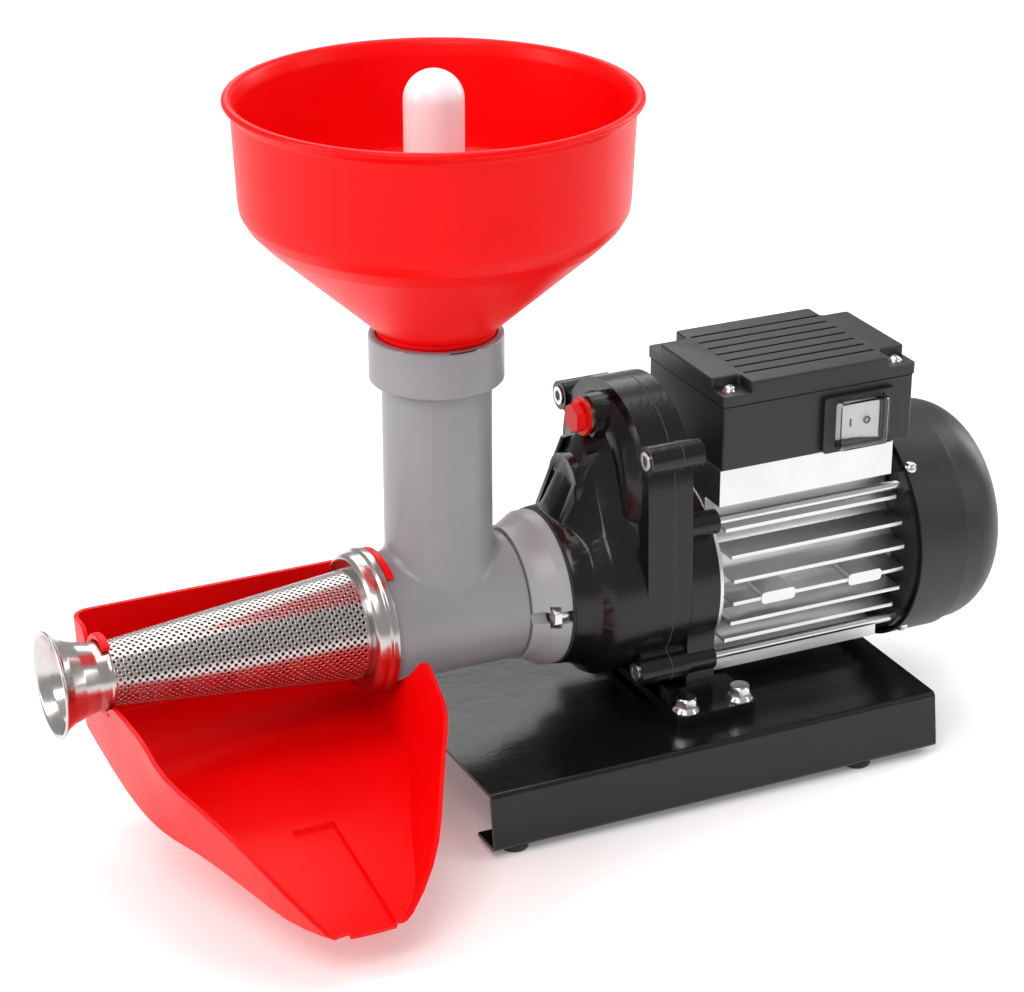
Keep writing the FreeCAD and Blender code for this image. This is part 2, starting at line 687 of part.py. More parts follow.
def drip_tray():
    m = TRAY_MID_X
    wide = TRAY_BACK_W + 20
    shell = tray_solid(0).cut(tray_solid(TRAY_WALL))
    shell = shell.cut(section(tray_rim(), m - wide, m + wide))
    c = m + CHANNEL_SHIFT
    w = CHANNEL_WIDTH / 2
    channel = slab([(c - w, TRAY_TIP_Y - 1), (c - w, CHANNEL_Y - 6), ((c - w + 1.8, CHANNEL_Y - 1.8), (c - w + 6, CHANNEL_Y)),
                    (c + w - 6, CHANNEL_Y), ((c + w - 1.8, CHANNEL_Y - 1.8), (c + w, CHANNEL_Y - 6)),
                    (c + w, TRAY_TIP_Y - 1)], -90, 0)
    depth = TRAY_WALL - 1.3
    groove = section([(TRAY_TIP_Y - 2, 0), (-68, 0), (-68, -61.1 + depth),
                      (TRAY_TIP_Y - 2, TRAY_TIP_Z + depth - 0.3)], m - wide, m + wide)
    shell = shell.cut(channel.common(groove))
    pieces = [shell]
    tools = [rod(RING_FRONT_X - 1, RING_BACK_X + FIT, RING_R + FIT)]
    for x, hold_r, end_angle, low_angle in (
            (NECK_HOOK_X, OUTLET_NECK_R + 0.5 + FIT, 116, 236),
            (BARREL_HOOK_X, BARREL_R + FIT, 122, 222)):
        x0, x1 = x - HOOK_WIDTH / 2, x + HOOK_WIDTH / 2
        pieces.append(wedge_span(x0, x1, hold_r + HOOK_STRIP, hold_r, low_angle - 360, end_angle))
        tools.append(rod(x0 - 3, x1 + 3, hold_r))
    cheek_x = m + TRAY_BACK_W - 2.2
    pieces.append(section([(-60, 1.5), ((-56, 3), (-52, 0)), (-36, -14), (-36, -30), (-70, -30), (-70, -8)],
                          cheek_x - TRAY_WALL / 2, cheek_x + TRAY_WALL / 2))
    solid = pieces[0].multiFuse(pieces[1:])
    return solid.cut(Part.makeCompound(tools)).removeSplitter()


def wedge_span(x0, x1, outer, inner, start, end):
    """A piece of a tube along X between two angles, measured from +Y towards +Z."""
    return wedge_any(tube(x0, x1, outer, inner), x0, x1, outer, start, end)


def wedge_any(ring, x0, x1, outer, start, end):
    parts = []
    count = max(1, math.ceil((end - start) / 90))
    step = (end - start) / count
    for i in range(count):
        a, b = math.radians(start + i * step), math.radians(start + (i + 1) * step)
        reach = outer * 2
        steps = [(0, 0), (reach * math.cos(a), reach * math.sin(a)),
                 (reach * 1.5 * math.cos((a + b) / 2), reach * 1.5 * math.sin((a + b) / 2)),
                 (reach * math.cos(b), reach * math.sin(b))]
        parts.append(ring.common(section(steps, x0 - 1, x1 + 1)))
    return parts[0] if count == 1 else parts[0].multiFuse(parts[1:]).removeSplitter()


# ---------------------------------------------------------------- adaptor
def adaptor_angles():
    return (180, 0)


def adaptor_flange():
    disc = turned([
        (ADAPTOR_X0 - SPIGOT_LENGTH, 0), (ADAPTOR_X0 - SPIGOT_LENGTH, BARREL_BORE - SEAT),
        (ADAPTOR_X0, BARREL_BORE - SEAT), (ADAPTOR_X0, ADAPTOR_NOSE_R), (ADAPTOR_X0 + 4, ADAPTOR_NOSE_R + 0.5),
        (ADAPTOR_RIM_X - 2, ADAPTOR_R - 1.2), (ADAPTOR_RIM_X, ADAPTOR_R), (ADAPTOR_X1, ADAPTOR_R), (ADAPTOR_X1, 0)])
    tools = [rod(0, ADAPTOR_X1 + 1, OUTPUT_SHAFT_R + FIT), rod(ADAPTOR_X1 - 7, ADAPTOR_X1 + 1, 16.0)]
    for angle in adaptor_angles():
        spot = rod(ADAPTOR_RIM_X - 5.2, ADAPTOR_RIM_X, 6.0, ADAPTOR_BOLT_R, 0)
        slot = fuse_all([rod(ADAPTOR_X0, ADAPTOR_X1 + 1, 3.3, ADAPTOR_BOLT_R, 0),
                         box(ADAPTOR_RIM_X - 1, ADAPTOR_X1 + 1, ADAPTOR_BOLT_R, ADAPTOR_R + 9, -3.3, 3.3)])
        outward = box(ADAPTOR_RIM_X - 5.2, ADAPTOR_RIM_X, ADAPTOR_BOLT_R, ADAPTOR_R + 9, -6.0, 6.0)
        tools += [around_x(t, angle) for t in (spot, slot, outward)]
    return cut_all(disc, tools)


def adaptor_bolts():
    bolts = []
    for angle in adaptor_angles():
        head = hex_head(ADAPTOR_RIM_X - 4.2, ADAPTOR_RIM_X, 10.0, ADAPTOR_BOLT_R, 0)
        shank = rod(ADAPTOR_RIM_X, CASE_X0 + 11, 3.0, ADAPTOR_BOLT_R, 0)
        bolts.append(around_x(head.fuse(shank), angle))
    return group(bolts)


def adaptor_seal():
    ring = tube(ADAPTOR_X1, CASE_X0, ADAPTOR_R + 0.6, 24.0)
    return cut_all(ring, [around_x(rod(ADAPTOR_X1 - 1, CASE_X0 + 1, 3.0 + SEAT, ADAPTOR_BOLT_R, 0), a)
                          for a in adaptor_angles()])


def output_seal():
    return tube(ADAPTOR_X1 - 7, ADAPTOR_X1 - 0.5, 16.0, OUTPUT_SHAFT_R + RUN)


# ---------------------------------------------------------------- gearbox
def case_outline(inset):
    """Two round ends joined by their tangents, as (y, z) steps."""
    low, top, rise = CASE_LOW_R - inset, CASE_TOP_R - inset, CASE_TOP_Z
    lean = math.asin((low - top) / rise)
    side_low = (low * math.cos(lean), low * math.sin(lean))
    side_top = (top * math.cos(lean), rise + top * math.sin(lean))
    return [side_low, side_top, ((0, rise + top), (-side_top[0], side_top[1])),
            (-side_low[0], side_low[1]), ((0, -low), side_low)]


def boss_places():
    y, z = BOSS_TOP
    ly, lz = BOSS_LOW
    return [(-y, z), (y, z), (-ly, -lz), (ly, -lz)]


def lug(x0, x1, y, z):
    """The web that joins a boss to the round of the case."""
    centre_z = CASE_TOP_Z if z > 0 else 0.0
    angle = math.degrees(math.atan2(z - centre_z, y))
    reach = math.hypot(y, z - centre_z)
    web = box(x0, x1, reach - 18, reach, -BOSS_R + 1, BOSS_R - 1)
    web = around_x(web, angle)
    web.translate(Vector(0, 0, centre_z))
    return web


def two_rounds(x, low, top, rise):
    """A wire across X: a round of radius low at the axis, joined to one of radius top above it."""
    lean = math.asin((low - top) / rise)
    side_low = (low * math.cos(lean), low * math.sin(lean))
    side_top = (top * math.cos(lean), rise + top * math.sin(lean))
    wire = outline([side_low, side_top, ((0, rise + top), (-side_top[0], side_top[1])),
                    (-side_low[0], side_low[1]), ((0, -low), side_low)])
    wire.Placement = Placement(Vector(x, 0, 0), Rotation(Base.Matrix(
        0, 0, 1, 0,
        1, 0, 0, 0,
        0, 1, 0, 0,
        0, 0, 0, 1)))
    return wire


def gear_case_front():
    flange = section(case_outline(0), CASE_SPLIT_X - CASE_FLANGE, CASE_SPLIT_X)
    hub = turned([(CASE_X0, 0), (CASE_X0, CASE_HUB_R - 1), (CASE_X0 + 1, CASE_HUB_R), (CASE_X0 + 12, CASE_HUB_R + 1),
                  (CASE_X0 + 18, CASE_LOW_R - 1), (CASE_X0 + 20, CASE_LOW_R), (CASE_SPLIT_X - 1, CASE_LOW_R),
                  (CASE_SPLIT_X - 1, 0)])
    slope = [two_rounds(CASE_X0 + 2, CASE_HUB_R - 2, 13.0, CASE_HUB_R - 12),
             two_rounds(CASE_X0 + 20, CASE_LOW_R - 2.5, 17.0, CASE_TOP_Z + 1.5),
             two_rounds(CASE_SPLIT_X - 12, CASE_LOW_R - 2.5, 33.0, CASE_TOP_Z + 2)]
    shoulder = Part.makeLoft(slope[:2], True, True)
    neck = Part.makeLoft(slope[1:], True, True)
    dome = turned([(CASE_SPLIT_X - 21, 0), (CASE_SPLIT_X - 21, 34), (CASE_SPLIT_X - 19, 37),
                   (CASE_SPLIT_X - CASE_FLANGE, 41), (CASE_SPLIT_X - 2, 41), (CASE_SPLIT_X - 2, 0)])
    dome.translate(Vector(0, 0, CASE_TOP_Z))
    nose = rod(CASE_X0 + 12, CASE_SPLIT_X - 5, IDLER_BEARING_R + 5, 0, IDLER_Z)
    plug_boss = rod(oil_plug_x(), CASE_SPLIT_X - 5, 11.5, 0, oil_plug_z())
    rib_steps = [(CASE_X0 + 4, 20), (CASE_X0 + 4, 40), (CASE_X0 + 18, CASE_TOP_Z + 16.5),
                 (CASE_SPLIT_X - 5, CASE_TOP_Z + 20), (CASE_SPLIT_X - 5, 20)]
    ribs = [bent(rib_steps, y - 1.5, y + 1.5) for y in (-13, 13)]
    pieces = [flange, hub, shoulder, neck, dome, nose, plug_boss] + ribs
    for y, z in boss_places():
        pieces += [rod(BOSS_FRONT_X, CASE_SPLIT_X, BOSS_R, y, z), lug(CASE_SPLIT_X - CASE_FLANGE, CASE_SPLIT_X, y, z)]
    case = pieces[0]
    for piece in pieces[1:]:
        case = case.fuse(piece)
    low_room = rod(OUTPUT_GEAR_X - 2, CASE_SPLIT_X + 1, CASE_LOW_R - CASE_WALL)
    high_room = section(case_outline(CASE_WALL), IDLER_GEAR_X - 1, CASE_SPLIT_X + 1)
    pinion_r = MODULE * (IDLER_PINION_TEETH / 2 + ADDENDUM)
    link_room = rod(OUTPUT_GEAR_X - 2, CASE_SPLIT_X + 1, pinion_r + LINK_ROOM, 0, IDLER_Z)
    seat_front = output_bearing_xs()[0]
    tools = [low_room, high_room, link_room,
             rod(seat_front, OUTPUT_GEAR_X, OUTPUT_BEARING_R), rod(CASE_X0 - 1, CASE_SPLIT_X, OUTPUT_SHAFT_R + 2),
             rod(idler_bearing_xs()[0], OUTPUT_GEAR_X, IDLER_BEARING_R, 0, IDLER_Z),
             rod(oil_plug_x() - 1, CASE_SPLIT_X, 5.0, 0, oil_plug_z()),
             rod(oil_plug_x() - 9, oil_plug_x(), 9.8 + FIT, 0, oil_plug_z())]
    tools += [rod(BOSS_FRONT_X - 1, CASE_SPLIT_X + 1, 3.3, y, z) for y, z in boss_places()]
    tools += [around_x(rod(CASE_X0 - 1, CASE_X0 + 11.5, 3.0, ADAPTOR_BOLT_R, 0), a) for a in adaptor_angles()]
    tools += [rod(BOSS_FRONT_X - 1, BOSS_FRONT_X + SCREW_SINK, 5.0, y, z) for y, z in boss_places()]
    case = case.cut(fuse_all(tools[:3]))
    return case.cut(Part.makeCompound(tools[3:]))


def output_bearing_xs():
    return (CASE_X0 + 2.4, OUTPUT_GEAR_X - 2 - OUTPUT_BEARING_W)


def idler_bearing_xs():
    return (OUTPUT_GEAR_X - 2 - IDLER_BEARING_W - 1, CASE_SPLIT_X + CASE_GASKET + 1.4)


def oil_plug_x():
    return CASE_X0 + 25


def oil_plug_z():
    return CASE_TOP_Z + 31.5


def case_gasket():
    plate = section(case_outline(0), CASE_SPLIT_X, CASE_SPLIT_X + CASE_GASKET)
    for y, z in boss_places():
        plate = plate.fuse(rod(CASE_SPLIT_X, CASE_SPLIT_X + CASE_GASKET, BOSS_R, y, z))
        plate = plate.fuse(lug(CASE_SPLIT_X, CASE_SPLIT_X + CASE_GASKET, y, z))
    room = section(case_outline(CASE_WALL), CASE_SPLIT_X - 1, CASE_SPLIT_X + 2)
    holes = [rod(CASE_SPLIT_X - 1, CASE_SPLIT_X + 2, 3.3, y, z) for y, z in boss_places()]
    return cut_all(plate, [room] + holes)


def gear_case_rear():
    x0, x1 = CASE_SPLIT_X + CASE_GASKET, CASE_X1
    pieces = [section(case_outline(0), x0, x1)]
    for y, z in boss_places():
        end = x1 + BOSS_TAIL if z > 0 else x1
        pieces += [rod(x0, end, BOSS_R, y, z), lug(x0, x1, y, z)]
    case = pieces[0]
    for piece in pieces[1:]:
        case = case.fuse(piece)
    tools = [section(case_outline(CASE_WALL), x0 - 1, x0 + 0.8),
             rod(idler_bearing_xs()[1], idler_bearing_xs()[1] + IDLER_BEARING_W, IDLER_BEARING_R, 0, IDLER_Z),
             rod(x0 - 1, x0 + 5, IDLER_SHAFT_R + 2, 0, IDLER_Z), rod(x0 - 1, x1 + 1, 13.0)]
    case = cut_all(case, tools)
    holes = [rod(x0 - 1, x1 + 1, 3.0, y, z) for y, z in boss_places()]
    return cut_all(case, holes)


def case_screws():
    seat = BOSS_FRONT_X + SCREW_SINK
    return group([socket_screw(seat, CASE_X1 - seat - 1, 4.9, 3.0, y, z)
                  for y, z in boss_places()])


def oil_plug():
    x, z = oil_plug_x() - 1.5, oil_plug_z()
    plug = fuse_all([rod(x - 2.2, x, 9.8, 0, z), hex_head(x - 7.0, x - 2.2, 14.0, 0, z), rod(x, x + 11, 5.0 - SEAT, 0, z)])
    return plug


def oil_plug_washer():
    return tube(oil_plug_x() - 1.5, oil_plug_x(), 9.0, 5.0, 0, oil_plug_z())


def output_bearings():
    return group([bearing(x, OUTPUT_BEARING_W, OUTPUT_BEARING_R, OUTPUT_SHAFT_R + RUN) for x in output_bearing_xs()])


def idler_bearings():
    return group([bearing(x, IDLER_BEARING_W, IDLER_BEARING_R, IDLER_SHAFT_R + RUN, 0, IDLER_Z)
                  for x in idler_bearing_xs()])


def idler_shaft():
    """The idler shaft with its pinion cut on it."""
    x0, x1 = idler_bearing_xs()[0] + 0.6, idler_bearing_xs()[1] + IDLER_BEARING_W - 0.6
    shaft = rod(x0, x1, IDLER_SHAFT_R, 0, IDLER_Z)
    teeth = gear(IDLER_PINION_TEETH, OUTPUT_GEAR_X - 0.5, OUTPUT_GEAR_W + 1.5, IDLER_SHAFT_R - 1, 0, IDLER_Z,
                 -90 + 180 / IDLER_PINION_TEETH)
    return shaft.fuse(teeth)


def idler_gear():
    return gear(IDLER_TEETH, IDLER_GEAR_X, IDLER_GEAR_W, IDLER_SHAFT_R, 0, IDLER_Z, -90 + 180 / IDLER_TEETH)


def output_gear():
    wheel = gear(OUTPUT_TEETH, OUTPUT_GEAR_X, OUTPUT_GEAR_W, OUTPUT_SHAFT_R, 0, 0, 90)
    dish = tube(OUTPUT_GEAR_X - 1, OUTPUT_GEAR_X + 2.5, 35.0, 19.0)
    return wheel.cut(dish)


# ---------------------------------------------------------------- motor
def rod_places():
    y, z = ROD_YZ
    return [(-y, z), (y, z), (-y, -z), (y, -z)]


def motor_front_shield():
    x0, x1 = CASE_X1, SHIELD_X1
    disc = rod(x0, x1, SHIELD_R)
    sleeves = [rod(x0, x1, ROD_SLEEVE_R, y, z) for y, z in rod_places()]
    base_z = BASE_TOP_Z
    plate = rounded_box(FOOT_PLATE_X0, FOOT_PLATE_X1, -FOOT_PLATE_Y, FOOT_PLATE_Y, base_z, base_z + FOOT_PLATE_T, 4.0)
    legs = [box(LEG_X0 + 4, x1, y - LEG_T / 2, y + LEG_T / 2, base_z + 1, -CASE_LOW_R - 1.2)
            for y in (-LEG_Y + LEG_T / 2, LEG_Y - LEG_T / 2)]
    legs += [box(x0 + 0.4, x1, y - LEG_T / 2, y + LEG_T / 2, -CASE_LOW_R - 2, -20)
             for y in (-LEG_Y + LEG_T / 2, LEG_Y - LEG_T / 2)]
    webs = [box(x0 + 5, x1 - 1, -LEG_Y + 1, LEG_Y - 1, base_z + 1, -30)]
    reach = math.hypot(*ROD_YZ)
    for y, z in rod_places():
        ear = box(x0, x1, SHIELD_R - 6, reach, -ROD_SLEEVE_R + 1, ROD_SLEEVE_R - 1)
        webs.append(around_x(ear, math.degrees(math.atan2(z, y))))
    shield = fuse_all([disc] + sleeves + [plate] + legs + webs)
    tools = [rod(x1 - 8, x1 + 20, HOUSING_BORE - 2), rod(x0 + 2.2, x1, MOTOR_BEARING_R),
             rod(x0 - 1, x1, MOTOR_SHAFT_R + 3)]
    tools += [rod(x0 + 2, x1 + 1, ROD_R, y, z) for y, z in rod_places()]
    tools += [post(base_z - 1, base_z + FOOT_PLATE_T + 1, 3.3, x, y) for x, y in bolt_places()]
    hollow_under = box(FOOT_PLATE_X0 - 1, FOOT_PLATE_X1 + 1, -30, 30, base_z - 1, base_z + 2.5)
    ring = tube(x1 - 12.5, x1, MOTOR_BEARING_R + 4, MOTOR_BEARING_R)
    cut = cut_all(shield, tools + [hollow_under])
    return cut.fuse(ring.common(rod(x0 + 1, x1 - 3.5, 60))).removeSplitter()


def fin_heights():
    return [FIN_TOP_Z - FIN_PITCH * i for i in range(FIN_COUNT)]


def fin(z):
    """One cooling fin of the near side."""
    tip = math.sqrt(FIN_TIP_R ** 2 - z ** 2)
    root = math.sqrt(max(HOUSING_R ** 2 - (abs(z) + FIN_THICK) ** 2, 0)) - 1.5
    x0, x1 = SHIELD_X1 + FIN_START, HOUSING_X1 - 1.5
    steps = [(x0, -root), (x0, -tip), (x1, -tip), (x1, -root)]
    return slab(steps, z - FIN_THICK / 2, z + FIN_THICK / 2)


def stator_housing():
    x0, x1 = SHIELD_X1, HOUSING_X1
    low_panel = ROD_YZ[1] + ROD_R + 1.2
    pieces = [rod(x0, x1, HOUSING_R), rod(x0, x0 + HOUSING_RIM, SHIELD_R)]
    panel_x1 = x1 - PANEL_SHORT
    pieces.append(box(x0 + 0.5, panel_x1, BOX_Y0, BOX_Y1, PANEL_LOW_Z, PANEL_TOP_Z))
    pieces.append(box(x0 + 0.5, x1, -30, 30, 30, PANEL_LOW_Z + 2))
    pieces.append(box(x0 + 0.5, panel_x1, -38, 38, -low_panel - 7.5, -low_panel))
    pieces.append(box(x0 + 0.5, panel_x1, -26, 26, -low_panel - 1, -25))
    for z in fin_heights():
        near = fin(z)
        pieces += [near, mirrored_y(near)]
    pad_z = fin_heights()[PAD_FIN]
    pad_tip = math.sqrt(FIN_TIP_R ** 2 - pad_z ** 2) + 0.6
    for px in PAD_XS:
        pieces.append(rounded_box(px, px + 19.8, -pad_tip, -HOUSING_R + 2, pad_z - 3.2, pad_z + 3.2, 2.2, "y"))
    for y in (-20, -10, 0, 10, 20):
        pieces.append(box(x0 + 3, x1 - 3, y - 1.1, y + 1.1, -57.5, -44))
    housing = fuse_all(pieces)
    tools = [rod(x0 - 1, x1 + 1, HOUSING_BORE)]
    tools += [rod(x0 - 1, x1 + 1, ROD_R + 0.4, y, z) for y, z in rod_places()]
    tools.append(box(x0 + 18, x1 - 30, -14, 14, HOUSING_BORE - 3, PANEL_TOP_Z + 1))
    return cut_all(housing, tools)


def tie_rods():
    rods = []
    for y, z in rod_places():
        stem = rod(CASE_X1 + 3, REAR_SHIELD_X1 + 5.5, ROD_R, y, z)
        nut = hex_head(REAR_SHIELD_X1, REAR_SHIELD_X1 + 4, 7.0, y, z)
        rods.append(stem.fuse(nut))
    return group(rods)


def stator_core():
    ring = tube(STATOR_X0, STATOR_X1, HOUSING_BORE, STATOR_BORE)
    slots = []
    for i in range(24):
        slot = box(STATOR_X0 - 1, STATOR_X1 + 1, STATOR_BORE + 1.2, STATOR_BORE + 9.5, -1.7, 1.7)
        slots.append(around_x(slot, i * 15 + 7.5))
    return cut_all(ring, slots)


def stator_windings():
    coils = []
    for x in (STATOR_X0 - WINDING_LENGTH, STATOR_X1):
        x1 = x + WINDING_LENGTH
        r0, r1 = STATOR_BORE + 3, HOUSING_BORE - 4
        coils.append(turned([(x, r0 + 2), (x, r1 - 3), ((x + 1, r1 - 0.8), (x + 3, r1)), (x1 - 3, r1),
                             ((x1 - 1, r1 - 0.8), (x1, r1 - 3)), (x1, r0 + 2), ((x1 - 0.6, r0 + 0.6), (x1 - 2, r0)),
                             (x + 2, r0), ((x + 0.6, r0 + 0.6), (x, r0 + 2))]))
    return group(coils)


def motor_shaft():
    return fuse_all([rod(IDLER_GEAR_X - 0.5, STATOR_X0 - 2, MOTOR_SHAFT_R), rod(STATOR_X0 - 2, STATOR_X1 + 2, MOTOR_SHAFT_R + 2),
                     rod(STATOR_X1 + 2, FAN_X0 + 18, MOTOR_SHAFT_R)])


def motor_pinion():
    return gear(MOTOR_TEETH, IDLER_GEAR_X - 0.5, IDLER_GEAR_W + 1, MOTOR_SHAFT_R, 0, 0, 90)


def rotor_core():
    return turned([(STATOR_X0, MOTOR_SHAFT_R + 2), (STATOR_X0, STATOR_BORE - AIR_GAP), (STATOR_X1, STATOR_BORE - AIR_GAP),
                   (STATOR_X1, MOTOR_SHAFT_R + 2)])


def motor_bearing_xs():
    return (CASE_X1 + 2.2, REAR_SHIELD_X1 - MOTOR_BEARING_W - 1.5)


def motor_bearings():
    return group([bearing(x, MOTOR_BEARING_W, MOTOR_BEARING_R, MOTOR_SHAFT_R + RUN) for x in motor_bearing_xs()])


def rear_shield():
    x0, x1 = HOUSING_X1, REAR_SHIELD_X1
    dish = turned([(x0, HOUSING_BORE - SEAT), (x0, HOUSING_R + 2), (x0 + 3, REAR_SHIELD_R), (x1, REAR_SHIELD_R),
                   (x1, 10.0), (x1 - 1.5, 10.0), (x1 - 1.5, MOTOR_BEARING_R), (x0 - 2, MOTOR_BEARING_R),
                   (x0 - 2, MOTOR_BEARING_R + 5), (x1 - 4, MOTOR_BEARING_R + 7), (x1 - 4, HOUSING_BORE - 4),
                   (x0 - 2, HOUSING_BORE - 3), (x0 - 2, HOUSING_BORE - SEAT)])
    ears = [rod(x0, x1, ROD_SLEEVE_R, y, z) for y, z in rod_places()]
    shield = fuse_all([dish] + ears)
    shield = shield.common(rod(x0 - 5, x1 + 5, COVER_R - COVER_WALL - FIT))
    return cut_all(shield, [rod(x0 - 1, x1 + 1, ROD_R, y, z) for y, z in rod_places()] + cover_screw_tools())


def cover_screw_angles():
    return (48, 132, 228, 312)


def cover_screw_x():
    return (COVER_X0 + REAR_SHIELD_X1) / 2 + 0.6


def cover_screw_tools():
    """Holes for the fan cover's radial screws."""
    tools = []
    for angle in cover_screw_angles():
        hole = Part.makeCylinder(1.6, 14, Vector(cover_screw_x(), 53.0, 0), Y_AXIS)
        tools.append(around_x(hole, angle))
    return tools


def fan_cover():
    t = COVER_WALL
    x0, crease, x1 = COVER_X0, COVER_CREASE_X, COVER_X1
    r, end = COVER_R, COVER_END_R
    mid_x, mid_r = x1 - 9.0, (r + end) / 2 + 4.0
    shell = turned([
        (x0, r - t), (x0, r), (crease, r), (crease + 1.2, r - 1.2), (crease + 9, r - 1.9),
        ((mid_x, mid_r), (x1 - 1.5, end + 2)), (x1, end - 1), (x1, 0), (x1 - t, 0), (x1 - t, end - 1.6),
        ((mid_x - 1.4, mid_r - 1.6), (crease + 9, r - 1.9 - t)), (crease + 1, r - 1.6 - t), (crease - 0.4, r - t)])
    slots = []
    for ring_r, count, width in ((14, 8, 4.0), (22.5, 14, 4.0), (31, 20, 4.0)):
        for i in range(count):
            bar = box(x1 - 6, x1 + 1, ring_r - 3, ring_r + 3, -width / 2 + 0.4, width / 2 - 0.4)
            slots.append(around_x(bar, 360 / count * i))
    return cut_all(shell, slots + cover_screw_tools())


def fan_cover_screws():
    screws = []
    for angle in cover_screw_angles():
        direction = Vector(0, math.cos(math.radians(angle)), math.sin(math.radians(angle)))
        base = Vector(cover_screw_x(), 0, 0) + direction * COVER_R
        screws.append(cross_screw(base, direction, 3.4, 1.9, 1.5, 8.0))
    return group(screws)


def cooling_fan():
    x0 = FAN_X0
    hub = tube(x0, x0 + 16, 13.0, MOTOR_SHAFT_R)
    plate = tube(x0, x0 + 2, FAN_R - 4, MOTOR_SHAFT_R + 1)
    blades = [around_x(box(x0 + 1, x0 + 17, 12.0, FAN_R, -1.0, 1.0), 360 / FAN_BLADES * i) for i in range(FAN_BLADES)]
    return fuse_all([hub, plate] + blades)


# ---------------------------------------------------------------- terminal box
def lid_screw_places():
    dx, dy = LID_SCREW_INSET
    return [(x, y) for x in (BOX_X0 + dx, BOX_X1 - dx) for y in (BOX_Y0 + dy, BOX_Y1 - dy)]


def terminal_box():
    t = BOX_WALL
    z0, z1 = PANEL_TOP_Z, BOX_TOP_Z
    shell = rounded_box(BOX_X0, BOX_X1, BOX_Y0, BOX_Y1, z0, z1, 2.0)
    room = box(BOX_X0 + t, BOX_X1 - t, BOX_Y0 + t, BOX_Y1 - t, z0 + t, z1 + 1)
    shell = shell.cut(room)
    posts = []
    for x, y in lid_screw_places():
        posts.append(box(max(x - 5, BOX_X0 + 1), min(x + 5, BOX_X1 - 1), max(y - 5, BOX_Y0 + 1),
                         min(y + 5, BOX_Y1 - 1), z0 + 1, z1))
    shell = fuse_all([shell] + posts)
    w, h = SWITCH_CUT
    tools = [box(SWITCH_X - w / 2, SWITCH_X + w / 2, BOX_Y0 - 1, BOX_Y0 + t + 1, SWITCH_Z - h / 2, SWITCH_Z + h / 2),
             Part.makeCylinder(gland_bore(), t + 2, Vector(*gland_place()) + Vector(0, 1, 0), -Y_AXIS),
             box(SHIELD_X1 + 22, HOUSING_X1 - 34, -12, 12, z0 - 1, z0 + t + 1)]
    tools += [post(z1 - 14, z1 + 1, 1.8, x, y) for x, y in lid_screw_places()]
    return cut_all(shell, tools)


def box_gasket():
    t = BOX_WALL
    z0 = BOX_TOP_Z
    ring = box(BOX_X0 + 0.4, BOX_X1 - 0.4, BOX_Y0 + 0.4, BOX_Y1 - 0.4, z0, z0 + BOX_GASKET)
    room = box(BOX_X0 + t, BOX_X1 - t, BOX_Y0 + t, BOX_Y1 - t, z0 - 1, z0 + 2)
    pads = [box(max(x - 5, BOX_X0 + 1), min(x + 5, BOX_X1 - 1), max(y - 5, BOX_Y0 + 1), min(y + 5, BOX_Y1 - 1),
                z0, z0 + BOX_GASKET) for x, y in lid_screw_places()]
    ring = fuse_all([ring.cut(room)] + pads)
    return cut_all(ring, [post(z0 - 1, z0 + 2, 2.0, x, y) for x, y in lid_screw_places()])


def box_lid():
    z0 = BOX_TOP_Z + BOX_GASKET
    o = LID_OVER
    x0, x1, y0, y1 = BOX_X0 - o, BOX_X1 + o, BOX_Y0 - o, BOX_Y1 + o
    plate = rounded_box(x0, x1, y0, y1, z0, z0 + LID_PLATE, 2.5)
    crown = box(x0, x1, y0, y1, z0 + LID_PLATE - 0.5, z0 + LID_PLATE + LID_CROWN)
    nx, ny = LID_NOTCH
    notches = [box(x - nx, x + nx, y - ny, y + ny, z0, z0 + 40) for x in (x0, x1) for y in (y0, y1)]
    crown = cut_all(crown, notches)
    uprights = [e for e in crown.Edges if abs(e.tangentAt(e.FirstParameter).z) > 0.99]
    crown = crown.makeFillet(2.0, uprights)
    top_edges = [e for e in crown.Edges if e.BoundBox.ZMin > z0 + LID_PLATE + LID_CROWN - 0.01]
    crown = crown.makeFillet(1.2, top_edges)
    lid = plate.fuse(crown)
    top = z0 + LID_PLATE + LID_CROWN
    middle = (y0 + y1) / 2
    grooves = [rounded_box(x0 + nx + 2, x1 - nx - 2, middle + 9.2 * i - 0.9, middle + 9.2 * i + 0.9, top - 0.8, top + 1, 0.8)
               for i in range(-3, 4)]
    room = box(BOX_X0 + 16, BOX_X1 - 16, BOX_Y0 + 12, BOX_Y1 - 12, z0 - 1, top - 3)
    holes = [post(z0 - 1, top + 1, 2.0, x, y) for x, y in lid_screw_places()]
    return cut_all(lid, grooves + [room] + holes)


def lid_screws():
    z = BOX_TOP_Z + BOX_GASKET + LID_PLATE
    return group([cross_screw(Vector(x, y, z), Z_AXIS, 3.9, 2.4, 1.7, 14.0) for x, y in lid_screw_places()])


def capacitor():
    z = PANEL_TOP_Z + BOX_WALL + 14.2
    can = rod(BOX_X0 + 12, BOX_X0 + 66, 13.5, 6.0, z)
    tab = [box(BOX_X0 + 66, BOX_X0 + 72, y, y + 0.8, z - 3, z + 3) for y in (0.0, 11.0)]
    cradle = box(BOX_X0 + 22, BOX_X0 + 52, -2.0, 14.0, PANEL_TOP_Z + BOX_WALL, z - 10)
    return fuse_all([can, cradle] + tab)


def terminal_block():
    z = PANEL_TOP_Z + BOX_WALL
    x0, x1, y0, y1 = BOX_X0 + 80, BOX_X0 + 98, 0.0, 26.0
    block = box(x0, x1, y0, y1, z, z + 12)
    holes = [post(z + 4, z + 13, 1.8, (x0 + x1) / 2 + dx, y0 + 4.5 + 8.5 * i) for i in range(3) for dx in (-4.5, 4.5)]
    return cut_all(block, holes)


def gland_bore():
    return 8.1


